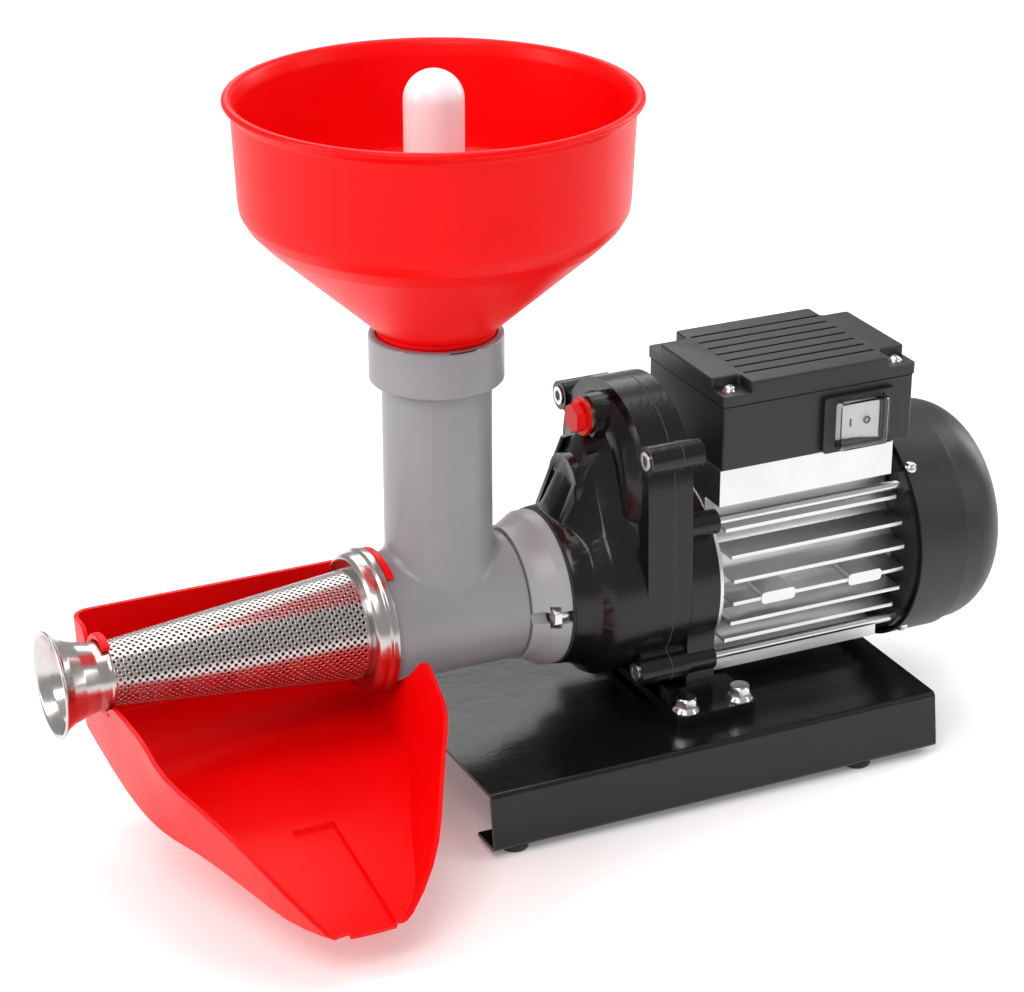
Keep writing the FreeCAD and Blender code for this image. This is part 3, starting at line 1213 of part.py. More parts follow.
def gland_place():
    return (BOX_X0 + 30, BOX_Y1, PANEL_TOP_Z + 17.0)


def cable_gland():
    x, y, z = gland_place()
    body = [Part.makeCylinder(gland_bore() - SEAT, BOX_WALL + 7, Vector(x, y - BOX_WALL - 5, z), Y_AXIS)]
    for across, y0, y1 in ((20.0, y, y + 6.0), (20.0, y - BOX_WALL - 4.5, y - BOX_WALL)):
        radius = across / math.sqrt(3)
        steps = [(x + radius * math.cos(math.radians(60 * i)), z + radius * math.sin(math.radians(60 * i))) for i in range(6)]
        body.append(bent(steps, y0, y1))
    cap = Part.makeCone(9.6, 6.6, 11, Vector(x, y + 6.0, z), Y_AXIS)
    gland = fuse_all(body + [cap])
    return gland.cut(Part.makeCylinder(3.6, 60, Vector(x, y - 30, z), Y_AXIS))


# ---------------------------------------------------------------- switch
def facing(width, height, y0, y1, radius):
    """A rounded block on the switch's axis."""
    return rounded_box(SWITCH_X - width / 2, SWITCH_X + width / 2, y0, y1,
                       SWITCH_Z - height / 2, SWITCH_Z + height / 2, radius, "y")


def switch_frame():
    face = BOX_Y0
    w, h = SWITCH_FRAME
    cw, ch = SWITCH_CUT
    plate = facing(w, h, face - SWITCH_FRAME_OUT, face, 2.0)
    body = facing(cw - 2 * SEAT, ch - 2 * SEAT, face - 1, face + 16, 1.0)
    room = facing(ROCKER_SIZE[0] + 2.2, ROCKER_SIZE[1] + 1.0, face - 10, face + 9.5, 1.0)
    pin = Part.makeCylinder(1.5 + RUN, ROCKER_SIZE[1] + 3.4, rocker_pivot() - Vector(0, 0, ROCKER_SIZE[1] / 2 + 1.7), Z_AXIS)
    rebate = facing(HOOD_SIZE[0] + 2 * SEAT, HOOD_SIZE[1] + 2 * SEAT, face - SWITCH_FRAME_OUT - 1, face - 1.4, 2.0)
    return cut_all(fuse_all([plate, body]), [room, pin, rebate])


def rocker_pivot():
    return Vector(SWITCH_X, BOX_Y0 + 3.2, SWITCH_Z)


def switch_hood():
    face = BOX_Y0
    w, h = HOOD_SIZE
    t = HOOD_WALL
    outer = facing(w, h, face - HOOD_OUT, face - 1.4, 2.5)
    front_edges = [e for e in outer.Edges if e.BoundBox.YMax < face - HOOD_OUT + 0.01]
    outer = outer.makeFillet(1.5, front_edges)
    return outer.cut(facing(w - 2 * t, h - 2 * t, face - HOOD_OUT + t, face, 1.5))


def switch_rocker():
    """The rocker, tipped to its off side."""
    w, h = ROCKER_SIZE
    face = BOX_Y0
    x = SWITCH_X
    steps = [(x - w / 2, face - 2.2), ((x, face - 0.6), (x + w / 2, face - 2.2)), (x + w / 2 - 2, face + 3.6),
             (x + 4, face + 5.4), (x - 4, face + 5.4), (x - w / 2 + 2, face + 3.6)]
    body = slab(steps, SWITCH_Z - h / 2, SWITCH_Z + h / 2)
    pin = Part.makeCylinder(1.5, h + 3, rocker_pivot() - Vector(0, 0, h / 2 + 1.5), Z_AXIS)
    rocker = body.fuse(pin)
    rocker.rotate(rocker_pivot(), Z_AXIS, -ROCKER_TILT)
    return rocker


# ---------------------------------------------------------------- all pieces
PIECES = [
    base_frame, rubber_feet, foot_bolts, foot_nuts, feed_body, funnel, pusher, filter_cone, filter_ring,
    waste_outlet, auger, output_shaft, drip_tray, adaptor_flange, adaptor_bolts, adaptor_seal, output_seal,
    gear_case_front, case_gasket, gear_case_rear, case_screws, oil_plug, oil_plug_washer, output_bearings,
    idler_bearings, idler_shaft, idler_gear, output_gear, motor_front_shield, stator_housing, tie_rods,
    stator_core, stator_windings, motor_shaft, motor_pinion, rotor_core, motor_bearings, rear_shield, fan_cover,
    fan_cover_screws, cooling_fan, terminal_box, box_gasket, box_lid, lid_screws, capacitor, terminal_block,
    cable_gland, switch_frame, switch_hood, switch_rocker,
]

for make in PIECES:
    save(make.__name__, make())
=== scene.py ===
import json
import math

import bmesh
import bpy
from mathutils import Matrix, Vector

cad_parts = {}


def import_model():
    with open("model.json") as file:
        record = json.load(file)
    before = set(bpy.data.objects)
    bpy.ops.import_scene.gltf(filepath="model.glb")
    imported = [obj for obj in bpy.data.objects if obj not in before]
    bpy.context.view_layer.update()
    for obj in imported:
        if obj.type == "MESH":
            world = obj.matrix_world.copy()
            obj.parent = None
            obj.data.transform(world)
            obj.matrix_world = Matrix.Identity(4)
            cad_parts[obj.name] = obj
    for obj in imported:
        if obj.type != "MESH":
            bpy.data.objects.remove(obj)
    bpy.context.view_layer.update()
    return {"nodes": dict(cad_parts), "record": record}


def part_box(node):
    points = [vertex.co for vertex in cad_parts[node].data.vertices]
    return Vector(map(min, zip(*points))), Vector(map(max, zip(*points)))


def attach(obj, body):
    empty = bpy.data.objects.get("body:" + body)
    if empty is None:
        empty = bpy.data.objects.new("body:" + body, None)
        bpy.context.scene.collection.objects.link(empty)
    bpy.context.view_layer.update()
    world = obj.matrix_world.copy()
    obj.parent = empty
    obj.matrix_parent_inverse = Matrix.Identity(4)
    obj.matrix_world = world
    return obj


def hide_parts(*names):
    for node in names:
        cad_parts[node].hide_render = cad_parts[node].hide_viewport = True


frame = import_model()

MM = 0.001

# The screw's axis and the feed tube's axis cross at ORIGIN. Sizes below are in millimetres from there:
# X along the screw towards the motor, Y away from the tray's spout, Z up.
funnel_low, funnel_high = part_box("funnel")
gear_low, gear_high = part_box("output_gear")
ORIGIN = Vector((
    (funnel_low.x + funnel_high.x) / 2,
    (funnel_low.y + funnel_high.y) / 2,
    (gear_low.z + gear_high.z) / 2,
))

NODE_SLOT = {part["node"]: part["material_slot"] for part in frame["record"]["subparts"]}
BODY_OF = {
    node: body
    for body, nodes in frame["record"]["behaviour"]["bodies"].items()
    for node in nodes
}


def at(x, y, z):
    """A place in millimetres from the crossing of the axes, in the object's frame in metres."""
    return ORIGIN + Vector((x, y, z)) * MM


# ---------------------------------------------------------------- node groups
def new_group(name, inputs, outputs):
    """An empty shader group with named sockets."""
    group = bpy.data.node_groups.new(name, "ShaderNodeTree")
    for kind, label, default in inputs:
        socket = group.interface.new_socket(name=label, in_out="INPUT", socket_type=kind)
        if default is not None:
            socket.default_value = default
    for kind, label in outputs:
        group.interface.new_socket(name=label, in_out="OUTPUT", socket_type=kind)
    return group, group.nodes.new("NodeGroupInput"), group.nodes.new("NodeGroupOutput")


def math_node(tree, operation, first, second):
    """A Math node whose two inputs are numbers or sockets."""
    node = tree.nodes.new("ShaderNodeMath")
    node.operation = operation
    for socket, value in zip(node.inputs, (first, second)):
        if isinstance(value, (int, float)):
            socket.default_value = value
        else:
            tree.links.new(value, socket)
    return node.outputs["Value"]


def spread(tree, value, low, high, to_low, to_high):
    """Maps low..high of a value to to_low..to_high, and holds it at the ends."""
    node = tree.nodes.new("ShaderNodeMapRange")
    node.inputs["From Min"].default_value = low
    node.inputs["From Max"].default_value = high
    for label, amount in (("To Min", to_low), ("To Max", to_high)):
        if isinstance(amount, (int, float)):
            node.inputs[label].default_value = amount
        else:
            tree.links.new(amount, node.inputs[label])
    tree.links.new(value, node.inputs["Value"])
    return node.outputs["Result"]


def noise(tree, vector, scale, detail=3.0, rough=0.55):
    node = tree.nodes.new("ShaderNodeTexNoise")
    node.inputs["Detail"].default_value = detail
    node.inputs["Roughness"].default_value = rough
    tree.links.new(vector, node.inputs["Vector"])
    if isinstance(scale, (int, float)):
        node.inputs["Scale"].default_value = scale
    else:
        tree.links.new(scale, node.inputs["Scale"])
    return node.outputs["Fac"]


def build_grain():
    """Moulded or cast skin: fine grain over a slower waviness."""
    group, source, sink = new_group(
        "surface_grain",
        [("NodeSocketVector", "Vector", None), ("NodeSocketFloat", "Grain Scale", 900.0),
         ("NodeSocketFloat", "Wave Scale", 40.0), ("NodeSocketFloat", "Wave Share", 0.4)],
        [("NodeSocketFloat", "Height")])
    fine = noise(group, source.outputs["Vector"], source.outputs["Grain Scale"])
    slow = noise(group, source.outputs["Vector"], source.outputs["Wave Scale"], 1.0)
    mixed = math_node(group, "ADD", fine, math_node(group, "MULTIPLY", slow, source.outputs["Wave Share"]))
    group.links.new(mixed, sink.inputs["Height"])
    return group


def build_handling():
    """Slow changes of shade and gloss left by moulding, oil and hands."""
    group, source, sink = new_group(
        "handling",
        [("NodeSocketVector", "Vector", None), ("NodeSocketColor", "Color", (1, 1, 1, 1)),
         ("NodeSocketFloat", "Shade", 0.05), ("NodeSocketFloat", "Roughness", 0.4),
         ("NodeSocketFloat", "Gloss Change", 0.05), ("NodeSocketFloat", "Scale", 18.0)],
        [("NodeSocketColor", "Color"), ("NodeSocketFloat", "Roughness")])
    broad = noise(group, source.outputs["Vector"], source.outputs["Scale"], 4.0)
    smear = noise(group, source.outputs["Vector"],
                  math_node(group, "MULTIPLY", source.outputs["Scale"], 4.3), 5.0, 0.7)
    darker = math_node(group, "SUBTRACT", 1.0, source.outputs["Shade"])
    factor = spread(group, broad, 0.3, 0.7, darker, 1.0)
    tint = group.nodes.new("ShaderNodeVectorMath")
    tint.operation = "SCALE"
    group.links.new(source.outputs["Color"], tint.inputs[0])
    group.links.new(factor, tint.inputs["Scale"])
    group.links.new(tint.outputs["Vector"], sink.inputs["Color"])
    centred = math_node(group, "SUBTRACT", smear, 0.5)
    swing = math_node(group, "MULTIPLY", centred, source.outputs["Gloss Change"])
    rough = math_node(group, "ADD", source.outputs["Roughness"], math_node(group, "MULTIPLY", swing, 2.0))
    group.links.new(rough, sink.inputs["Roughness"])
    return group


def build_dust():
    """A little pale dust on faces that look up."""
    group, source, sink = new_group(
        "top_dust",
        [("NodeSocketVector", "Vector", None), ("NodeSocketColor", "Color", (0, 0, 0, 1)),
         ("NodeSocketFloat", "Amount", 0.1)],
        [("NodeSocketColor", "Color"), ("NodeSocketFloat", "Mask")])
    normal = group.nodes.new("ShaderNodeNewGeometry")
    split = group.nodes.new("ShaderNodeSeparateXYZ")
    group.links.new(normal.outputs["Normal"], split.inputs[0])
    up = spread(group, split.outputs["Z"], 0.3, 1.0, 0.0, 1.0)
    specks = spread(group, noise(group, source.outputs["Vector"], 260.0, 6.0, 0.75), 0.45, 0.75, 0.0, 1.0)
    mask = math_node(group, "MULTIPLY", math_node(group, "MULTIPLY", up, specks), source.outputs["Amount"])
    mix = group.nodes.new("ShaderNodeMix")
    mix.data_type = "RGBA"
    mix.inputs["B"].default_value = (0.42, 0.40, 0.37, 1)
    group.links.new(mask, mix.inputs["Factor"])
    group.links.new(source.outputs["Color"], mix.inputs["A"])
    group.links.new(mix.outputs["Result"], sink.inputs["Color"])
    group.links.new(mask, sink.inputs["Mask"])
    return group


GRAIN = build_grain()
HANDLING = build_handling()
DUST = build_dust()


def place_group(tree, group, values, vector):
    node = tree.nodes.new("ShaderNodeGroup")
    node.node_tree = group
    tree.links.new(vector, node.inputs["Vector"])
    for label, value in values.items():
        if isinstance(value, bpy.types.NodeSocket):
            tree.links.new(value, node.inputs[label])
        else:
            node.inputs[label].default_value = value
    return node


FINISH = {}


def finish(name, color, rough, metal=0.0, shade=0.06, gloss_change=0.04, patch=18.0, stretch=(1, 1, 1),
           grain=900.0, wave=40.0, wave_share=0.4, depth=0.00002, dust=0.0, coat=0.0, coat_rough=0.05,
           ior=1.5, through=0.0, under=0.0, under_color=None, aniso=0.0):
    """One finish: a colour with slow changes, a grain in the surface, and dust where it's wanted."""
    material = bpy.data.materials.new(name)
    material.use_nodes = True
    tree = material.node_tree
    shader = tree.nodes["Principled BSDF"]
    shader.inputs["Metallic"].default_value = metal
    shader.inputs["IOR"].default_value = ior
    shader.inputs["Coat Weight"].default_value = coat
    shader.inputs["Coat Roughness"].default_value = coat_rough
    shader.inputs["Transmission Weight"].default_value = through
    shader.inputs["Anisotropic"].default_value = aniso
    if under:
        shader.inputs["Subsurface Weight"].default_value = under
        shader.inputs["Subsurface Scale"].default_value = 0.004
        shader.inputs["Subsurface Radius"].default_value = under_color or (1.0, 1.0, 1.0)
    place = tree.nodes.new("ShaderNodeTexCoord").outputs["Object"]
    mapping = tree.nodes.new("ShaderNodeMapping")
    mapping.inputs["Scale"].default_value = stretch
    tree.links.new(place, mapping.inputs["Vector"])
    vector = mapping.outputs["Vector"]
    handled = place_group(tree, HANDLING, {
        "Color": (*color, 1), "Shade": shade, "Roughness": rough, "Gloss Change": gloss_change,
        "Scale": patch}, place if stretch == (1, 1, 1) else vector)
    last_color = handled.outputs["Color"]
    if dust:
        dusted = place_group(tree, DUST, {"Color": last_color, "Amount": dust}, place)
        last_color = dusted.outputs["Color"]
    tree.links.new(last_color, shader.inputs["Base Color"])
    tree.links.new(handled.outputs["Roughness"], shader.inputs["Roughness"])
    grained = place_group(tree, GRAIN, {
        "Grain Scale": grain, "Wave Scale": wave, "Wave Share": wave_share}, vector)
    bump = tree.nodes.new("ShaderNodeBump")
    bump.inputs["Strength"].default_value = 1.0
    bump.inputs["Distance"].default_value = depth
    tree.links.new(grained.outputs["Height"], bump.inputs["Height"])
    tree.links.new(bump.outputs["Normal"], shader.inputs["Normal"])
    FINISH[name] = material


finish("black_gloss_paint", (0.006, 0.006, 0.0065), 0.24, shade=0.25, gloss_change=0.05,
       grain=420, wave=90, wave_share=1.2, depth=0.00012, coat=0.1, coat_rough=0.12, ior=1.40,
       dust=0.012)
finish("black_matte_plastic", (0.011, 0.011, 0.012), 0.42, shade=0.12, gloss_change=0.05,
       grain=1600, depth=0.00006, dust=0.03)
finish("black_rubber", (0.018, 0.018, 0.018), 0.72, grain=700, depth=0.00008, dust=0.12)
finish("gasket_paper", (0.05, 0.05, 0.048), 0.8, grain=1500, depth=0.00004)
finish("zinc_steel", (0.72, 0.72, 0.71), 0.22, metal=1.0, shade=0.15, gloss_change=0.08,
       grain=500, depth=0.00003)
finish("stainless_steel", (0.58, 0.56, 0.545), 0.22, metal=1.0, shade=0.10, gloss_change=0.07,
       patch=30, stretch=(9, 1, 1), grain=260, wave=60, depth=0.000012, aniso=0.3)
finish("machined_steel", (0.50, 0.50, 0.51), 0.28, metal=1.0, shade=0.15, grain=700,
       stretch=(4, 1, 1), depth=0.00002)
finish("cast_aluminium", (0.74, 0.74, 0.745), 0.33, metal=1.0, shade=0.10, gloss_change=0.08,
       grain=1100, wave=160, wave_share=0.8, depth=0.00007)
finish("red_plastic", (0.86, 0.0003, 0.001), 0.36, shade=0.06, gloss_change=0.05, grain=1300,
       wave=22, wave_share=2.0, depth=0.00003, ior=1.26)
finish("grey_plastic", (0.27, 0.275, 0.29), 0.33, shade=0.05, grain=1200, wave=24,
       wave_share=1.5, depth=0.00003)
finish("light_grey_plastic", (0.36, 0.365, 0.375), 0.36, shade=0.05, grain=1200, wave=30,
       wave_share=1.2, depth=0.00003)
finish("white_plastic", (0.90, 0.91, 0.93), 0.30, shade=0.03, grain=900, wave=30, depth=0.00002,
       under=0.8, under_color=(1.0, 1.0, 1.0))
finish("clear_plastic", (0.97, 0.98, 0.98), 0.06, shade=0.02, gloss_change=0.02, grain=500,
       depth=0.00001, through=1.0, ior=1.3)
finish("copper_enamel", (0.50, 0.16, 0.05), 0.35, metal=0.7, grain=500, stretch=(1, 6, 6),
       depth=0.0002)
finish("silver_can", (0.72, 0.72, 0.72), 0.32, metal=1.0, grain=600, stretch=(1, 8, 8),
       depth=0.00002)
finish("copper_washer", (0.75, 0.38, 0.24), 0.30, metal=1.0, grain=600, depth=0.00002)
finish("painted_shield", (0.015, 0.015, 0.016), 0.38, grain=700, wave=90, depth=0.00010,
       dust=0.04)


# ---------------------------------------------------------------- piece helpers
def make_piece(name, bm, node, slot=None, smooth=32.0, replaces=True):
    """Ends a piece: it goes where its CAD node is, takes that node's finish and stands for it."""
    mesh = bpy.data.meshes.new(name)
    bm.to_mesh(mesh)
    bm.free()
    piece = bpy.data.objects.new(name, mesh)
    bpy.context.scene.collection.objects.link(piece)
    mesh.shade_smooth()
    mesh.set_sharp_from_angle(angle=math.radians(smooth))
    slot = slot or NODE_SLOT[node]
    mesh.materials.append(FINISH[slot])
    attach(piece, BODY_OF[node])
    if replaces:
        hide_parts(node)
    return piece


def round_edges(piece, width, segments=2, angle=40.0):
    bevel = piece.modifiers.new("rounded_edges", "BEVEL")
    bevel.width = width * MM
    bevel.segments = segments
    bevel.limit_method = "ANGLE"
    bevel.angle_limit = math.radians(angle)
    bevel.use_clamp_overlap = True
    bevel.harden_normals = True
    return piece


def softened(node, width, segments=2, angle=40.0):
    """A copy of a CAD node with its triangles joined into faces and its edges rounded."""
    bm = bmesh.new()
    bm.from_mesh(frame["nodes"][node].data)
    bmesh.ops.remove_doubles(bm, verts=bm.verts, dist=0.000005)
    bmesh.ops.dissolve_limit(bm, angle_limit=math.radians(0.8), verts=bm.verts, edges=bm.edges)
    return round_edges(make_piece(node + "_shaped", bm, node), width, segments, angle)


def lathe(points, axis="x", steps=112, rounding=0.0, corner_steps=3):
    """Turns a closed outline of (along, radius) points about the screw's axis or the feed tube's axis."""
    bm = bmesh.new()

    def place(along, radius):
        return at(along, 0, radius) if axis == "x" else at(radius, 0, along)

    verts = [bm.verts.new(place(*point)) for point in points]
    edges = [bm.edges.new(pair) for pair in zip(verts, verts[1:] + verts[:1])]
    if rounding:
        inner = [v for v, point in zip(verts, points) if point[1] > 0.01]
        bmesh.ops.bevel(bm, geom=inner, offset=rounding * MM, segments=corner_steps, profile=0.5,
                        affect="VERTICES", clamp_overlap=True, material=-1)

    def on_axis(v):
        offset = v.co - at(0, 0, 0)
        return (offset.xy if axis == "z" else offset.yz).length < 1e-6

    centre_edges = [e for e in bm.edges if all(on_axis(v) for v in e.verts)]
    bmesh.ops.delete(bm, geom=centre_edges, context="EDGES")
    bmesh.ops.spin(bm, geom=bm.verts[:] + bm.edges[:], cent=at(0, 0, 0),
                   axis=(1, 0, 0) if axis == "x" else (0, 0, 1), dvec=(0, 0, 0), angle=math.tau,
                   steps=steps, use_merge=True)
    bmesh.ops.remove_doubles(bm, verts=bm.verts, dist=0.000002)
    bmesh.ops.recalc_face_normals(bm, faces=bm.faces)
    return bm


# ---------------------------------------------------------------- funnel and pusher
def funnel():
    """Spout, cone, rounded shoulder, side and rolled rim, then the same way back inside."""
    wall = 2.4
    spout_r, spout_foot, spout_top = 29.2, 124.8, 150.5
    side_r, side_foot = 93.5, 218.0
    outside = [
        (spout_foot, spout_r), (spout_top, spout_r), (199.0, 83.0), (201.2, 85.0), (206.0, 89.6),
        (212.0, 92.9), (side_foot, side_r)]
    rim = [
        (260.5, 95.4), (262.6, 97.4), (264.4, 99.5), (266.4, 98.6), (266.9, 96.4), (265.2, 94.4),
        (259.5, 95.3 - wall)]
    inside = [
        (side_foot, side_r - wall), (212.5, 92.7 - wall), (207.4, 89.0 - wall), (202.8, 84.6 - wall),
        (200.8, 82.4 - wall), (151.5, spout_r - wall + 0.6), (149.5, spout_r - wall),
        (spout_foot, spout_r - wall)]
    bm = lathe(outside + rim + inside, "z", 160, rounding=0.9, corner_steps=3)
    return make_piece("funnel_bowl", bm, "funnel", smooth=40)


def dome(top, radius, angles):
    """Points (z, radius) of a dome, at angles in degrees from its foot."""
    centre = top - radius
    return [(centre + radius * math.sin(math.radians(a)), radius * math.cos(math.radians(a))) for a in angles]


def pusher():
    top, radius, wall = 277.5, 14.5, 2.4
    foot, foot_r, floor_z = 29.0, 21.4, 33.0
    outside = [(foot, 0), (foot, foot_r - 1.0), (foot + 1.0, foot_r), (51.0, foot_r), (58.0, radius)]
    outside += dome(top, radius, range(0, 90, 6)) + [(top, 0)]
    inside = [(top - wall, 0)] + dome(top - wall, radius - wall, range(80, -1, -10))
    inside += [(floor_z, radius - wall), (floor_z, 0)]
    return make_piece("pusher_stem", lathe(outside + inside, "z", 96), "pusher", smooth=50)


# ---------------------------------------------------------------- filter
def ring():
    """A stepped ring: the skirt over the barrel, two beads and the lip that holds the cone's flange."""
    back = -37.1
    skirt_r, skirt_bore, lip_bore = 37.0, 34.9, 31.1
    outline = [
        (back, skirt_r), (-40.4, skirt_r), (-41.6, 35.8), (-44.0, 35.6), (-46.8, 34.9), (-48.2, 33.6),
        (-48.1, lip_bore), (-47.65, lip_bore), (-47.65, 32.7), (-46.2, 32.7), (-46.2, 33.45), (-44.2, 33.45),
        (-43.4, skirt_bore), (back, skirt_bore)]
    return make_piece("lock_ring_turned", lathe(outline, "x", 144, rounding=0.5), "filter_ring", smooth=40)


def outlet():
    """The neck that grips the cone's small end, the flare and its rolled mouth."""
    collar = [(-174.7, 16.15), (-175.2, 17.2), (-176.4, 17.35), (-177.5, 16.95)]
    flare = [(-183.0, 17.1), (-190.5, 19.0), (-197.0, 21.8), (-200.4, 24.4)]
    mouth = [(-201.9, 26.3), (-203.0, 26.6), (-203.4, 25.5), (-202.6, 24.2)]
    inside = [(-197.2, 20.7), (-190.0, 17.9), (-183.0, 16.1), (-179.8, 14.8)]
    seat = [(-179.6, 15.55), (-177.0, 15.85)]
    bm = lathe(collar + flare + mouth + inside + seat, "x", 128, rounding=0.5)
    return make_piece("waste_outlet_turned", bm, "waste_outlet", smooth=50)


def perforated_cone():
    """The sheet is laid out flat, punched in staggered rows, trimmed and rolled into a cone."""
    x0, r0, x1, r1 = -179.4, 15.5, -47.6, 27.87
    slope = (r1 - r0) / (x1 - x0)
    lean = math.atan(slope)
    near, far = r0 / math.sin(lean), r1 / math.sin(lean)
    sweep = math.tau * math.sin(lean)
    cell, hole, sheet = 1.82, 1.56, 0.6
    columns = int((far - near * math.cos(sweep / 2)) / cell) + 2
    rows = int(2 * far * math.sin(sweep / 2) / cell) + 3
    rows += 1 - rows % 2
    bm = bmesh.new()
    bmesh.ops.create_grid(bm, x_segments=columns, y_segments=rows, size=0.5)
    start = near * math.cos(sweep / 2) - cell
    bmesh.ops.scale(bm, vec=(columns * cell, rows * cell, 1), verts=bm.verts)
    bmesh.ops.translate(bm, vec=(start + columns * cell / 2, 0, 0), verts=bm.verts)
    for side in (1, -1):
        edge_normal = (-math.sin(sweep / 2), side * math.cos(sweep / 2), 0)
        bmesh.ops.bisect_plane(bm, geom=bm.verts[:] + bm.edges[:] + bm.faces[:], plane_co=(0, 0, 0),
                               plane_no=edge_normal, clear_outer=True, dist=0.0001)

    def whole(face):
        return len(face.verts) == 4 and abs(face.calc_area() - cell * cell) < 0.01 * cell

    def keep(face):
        middle = face.calc_center_median()
        return near + cell * 0.8 < middle.length < far - cell * 0.8

    punched = []
    for face in bm.faces:
        middle = face.calc_center_median()
        i = round((middle.x - start) / cell - 0.5)
        j = round(middle.y / cell + rows / 2 - 0.5)
        if whole(face) and keep(face) and (i + j) % 2 == 0:
            punched.append(face)
    bmesh.ops.inset_individual(bm, faces=punched, thickness=(cell - hole) / 2, use_even_offset=True)
    corners = list({v for face in punched for v in face.verts})
    bmesh.ops.bevel(bm, geom=corners, offset=hole * 0.29, offset_type="OFFSET", segments=1, profile=0.5,
                    affect="VERTICES", material=-1)
    gone = [f for f in bm.faces if len(f.verts) == 8 and f.calc_area() < hole * hole
            and keep(f) and all(e.calc_length() < hole * 0.7 for e in f.edges)]
    bmesh.ops.delete(bm, geom=gone, context="FACES")
    apex = x0 - r0 / slope
    for v in bm.verts:
        length = min(max(v.co.xy.length, near), far)
        turn = math.atan2(v.co.y, v.co.x) / sweep * math.tau
        radius = length * math.sin(lean)
        v.co = at(apex + length * math.cos(lean), -radius * math.cos(turn), radius * math.sin(turn))
    bmesh.ops.remove_doubles(bm, verts=bm.verts, dist=0.00001)
    bmesh.ops.recalc_face_normals(bm, faces=bm.faces)
    across = Vector((0, 1, 1))
    outward = sum(f.normal.dot((f.calc_center_median() - at(0, 0, 0)) * across) > 0 for f in bm.faces)
    if outward < len(bm.faces) / 2:
        bmesh.ops.reverse_faces(bm, faces=bm.faces)
    piece = make_piece("perforated_cone", bm, "filter_cone", smooth=30)
    wall = piece.modifiers.new("sheet", "SOLIDIFY")
    wall.thickness = sheet * MM
    wall.offset = -1.0
    flange_r, band_length = 32.5, 2.6
    flange = lathe([
        (x1 - band_length, r1 - 0.20), (x1, r1 + 0.06), (x1 - 0.2, flange_r), (x1 + 0.5, flange_r),
        (x1 + 0.9, r1 - 0.8), (x1 - band_length, r1 - 1.1)], "x", 96)
    make_piece("cone_flange", flange, "filter_cone", replaces=False)
    return piece


# ---------------------------------------------------------------- drip tray
TRAY_MID = -105.0
TRAY_BACK = 42.0
TRAY_TOP = 15.0
TRAY_WALL = 2.2
SPOUT_MID = 2.5
SPOUT_HALF = 11.0
SPOUT_START = -79.0
SPOUT_DEPTH = 2.4
TRAY_LINES = 9

# Each line is (half width, y, z) at its stations, from the back wall to the spout. The rims dip under the
# barrel and the outlet's neck, and meet in the same curve towards the spout.
FRONT_RIM = [
    (65.8, -92.0, -18.4), (61.2, -100.0, -22.4), (56.0, -110.0, -27.4), (50.7, -120.0, -32.6),
    (45.4, -130.0, -38.6), (40.0, -139.0, -45.2), (34.0, -146.0, -53.0), (27.0, -151.0, -62.0),
    (20.0, -154.0, -70.5)]
MOTOR_SIDE_RIM = [
    (71.2, TRAY_BACK, TRAY_TOP), (71.2, 31.5, 15.3), (71.2, 30.4, 14.0), (71.2, 33.0, 5.0),
    (71.0, 31.6, -11.0), (70.9, 25.0, -22.2), (70.8, 13.0, -30.8), (70.8, 0.0, -33.5),
    (70.8, -13.0, -30.8), (70.9, -22.0, -25.2),
    (71.0, -30.0, -20.0), (71.2, -38.0, -14.5), (71.4, -47.0, -6.0), (71.6, -52.0, -1.0), (71.7, -56.0, 0.8),
    (71.8, -60.0, -0.6), (71.9, -67.0, -5.0), (71.6, -76.0, -9.8), (69.6, -84.0, -14.0)] + FRONT_RIM
OUTLET_SIDE_RIM = [
    (71.8, TRAY_BACK, TRAY_TOP), (71.8, 31.5, 15.3), (71.8, 24.0, 15.2), (71.8, 18.6, 9.0), (71.6, 17.5, 0.0),
    (71.4, 15.6, -8.0), (71.4, 10.0, -14.4), (71.4, 0.0, -17.6), (71.4, -9.0, -15.0), (71.5, -14.0, -11.4),
    (71.5, -18.0, -9.6), (71.6, -26.0, -8.6), (71.7, -34.0, -7.8), (71.8, -42.0, -7.4), (71.8, -50.0, -7.2),
    (71.8, -58.0, -7.2), (71.9, -67.0, -8.0), (71.6, -76.0, -10.4), (69.6, -84.0, -14.2)] + FRONT_RIM
FLOOR_EDGE = [
    (68.8, TRAY_BACK, -44.5), (68.8, 35.0, -45.3), (68.8, 30.0, -46.0), (68.8, 25.0, -46.8),
    (68.8, 20.0, -47.5), (68.7, 14.0, -48.4), (68.6, 8.0, -49.2), (68.6, 0.0, -50.3), (68.4, -8.0, -51.3),
    (68.2, -15.0, -52.1),
    (67.9, -22.0, -53.0), (67.4, -29.0, -53.9), (66.8, -36.0, -54.7), (66.0, -43.0, -55.5),
    (64.8, -50.0, -56.3), (63.0, -57.0, -57.2), (60.4, -64.5, -58.0), (56.8, -72.5, -58.9),
    (53.2, -80.0, -59.9), (49.8, -88.0, -61.4), (46.4, -96.5, -62.9), (42.8, -106.0, -64.6),
    (39.2, -116.0, -66.4), (35.6, -126.0, -68.2), (31.2, -136.0, -70.1), (25.8, -144.5, -71.7),
    (20.5, -150.5, -73.1), (16.5, -154.0, -73.9)]


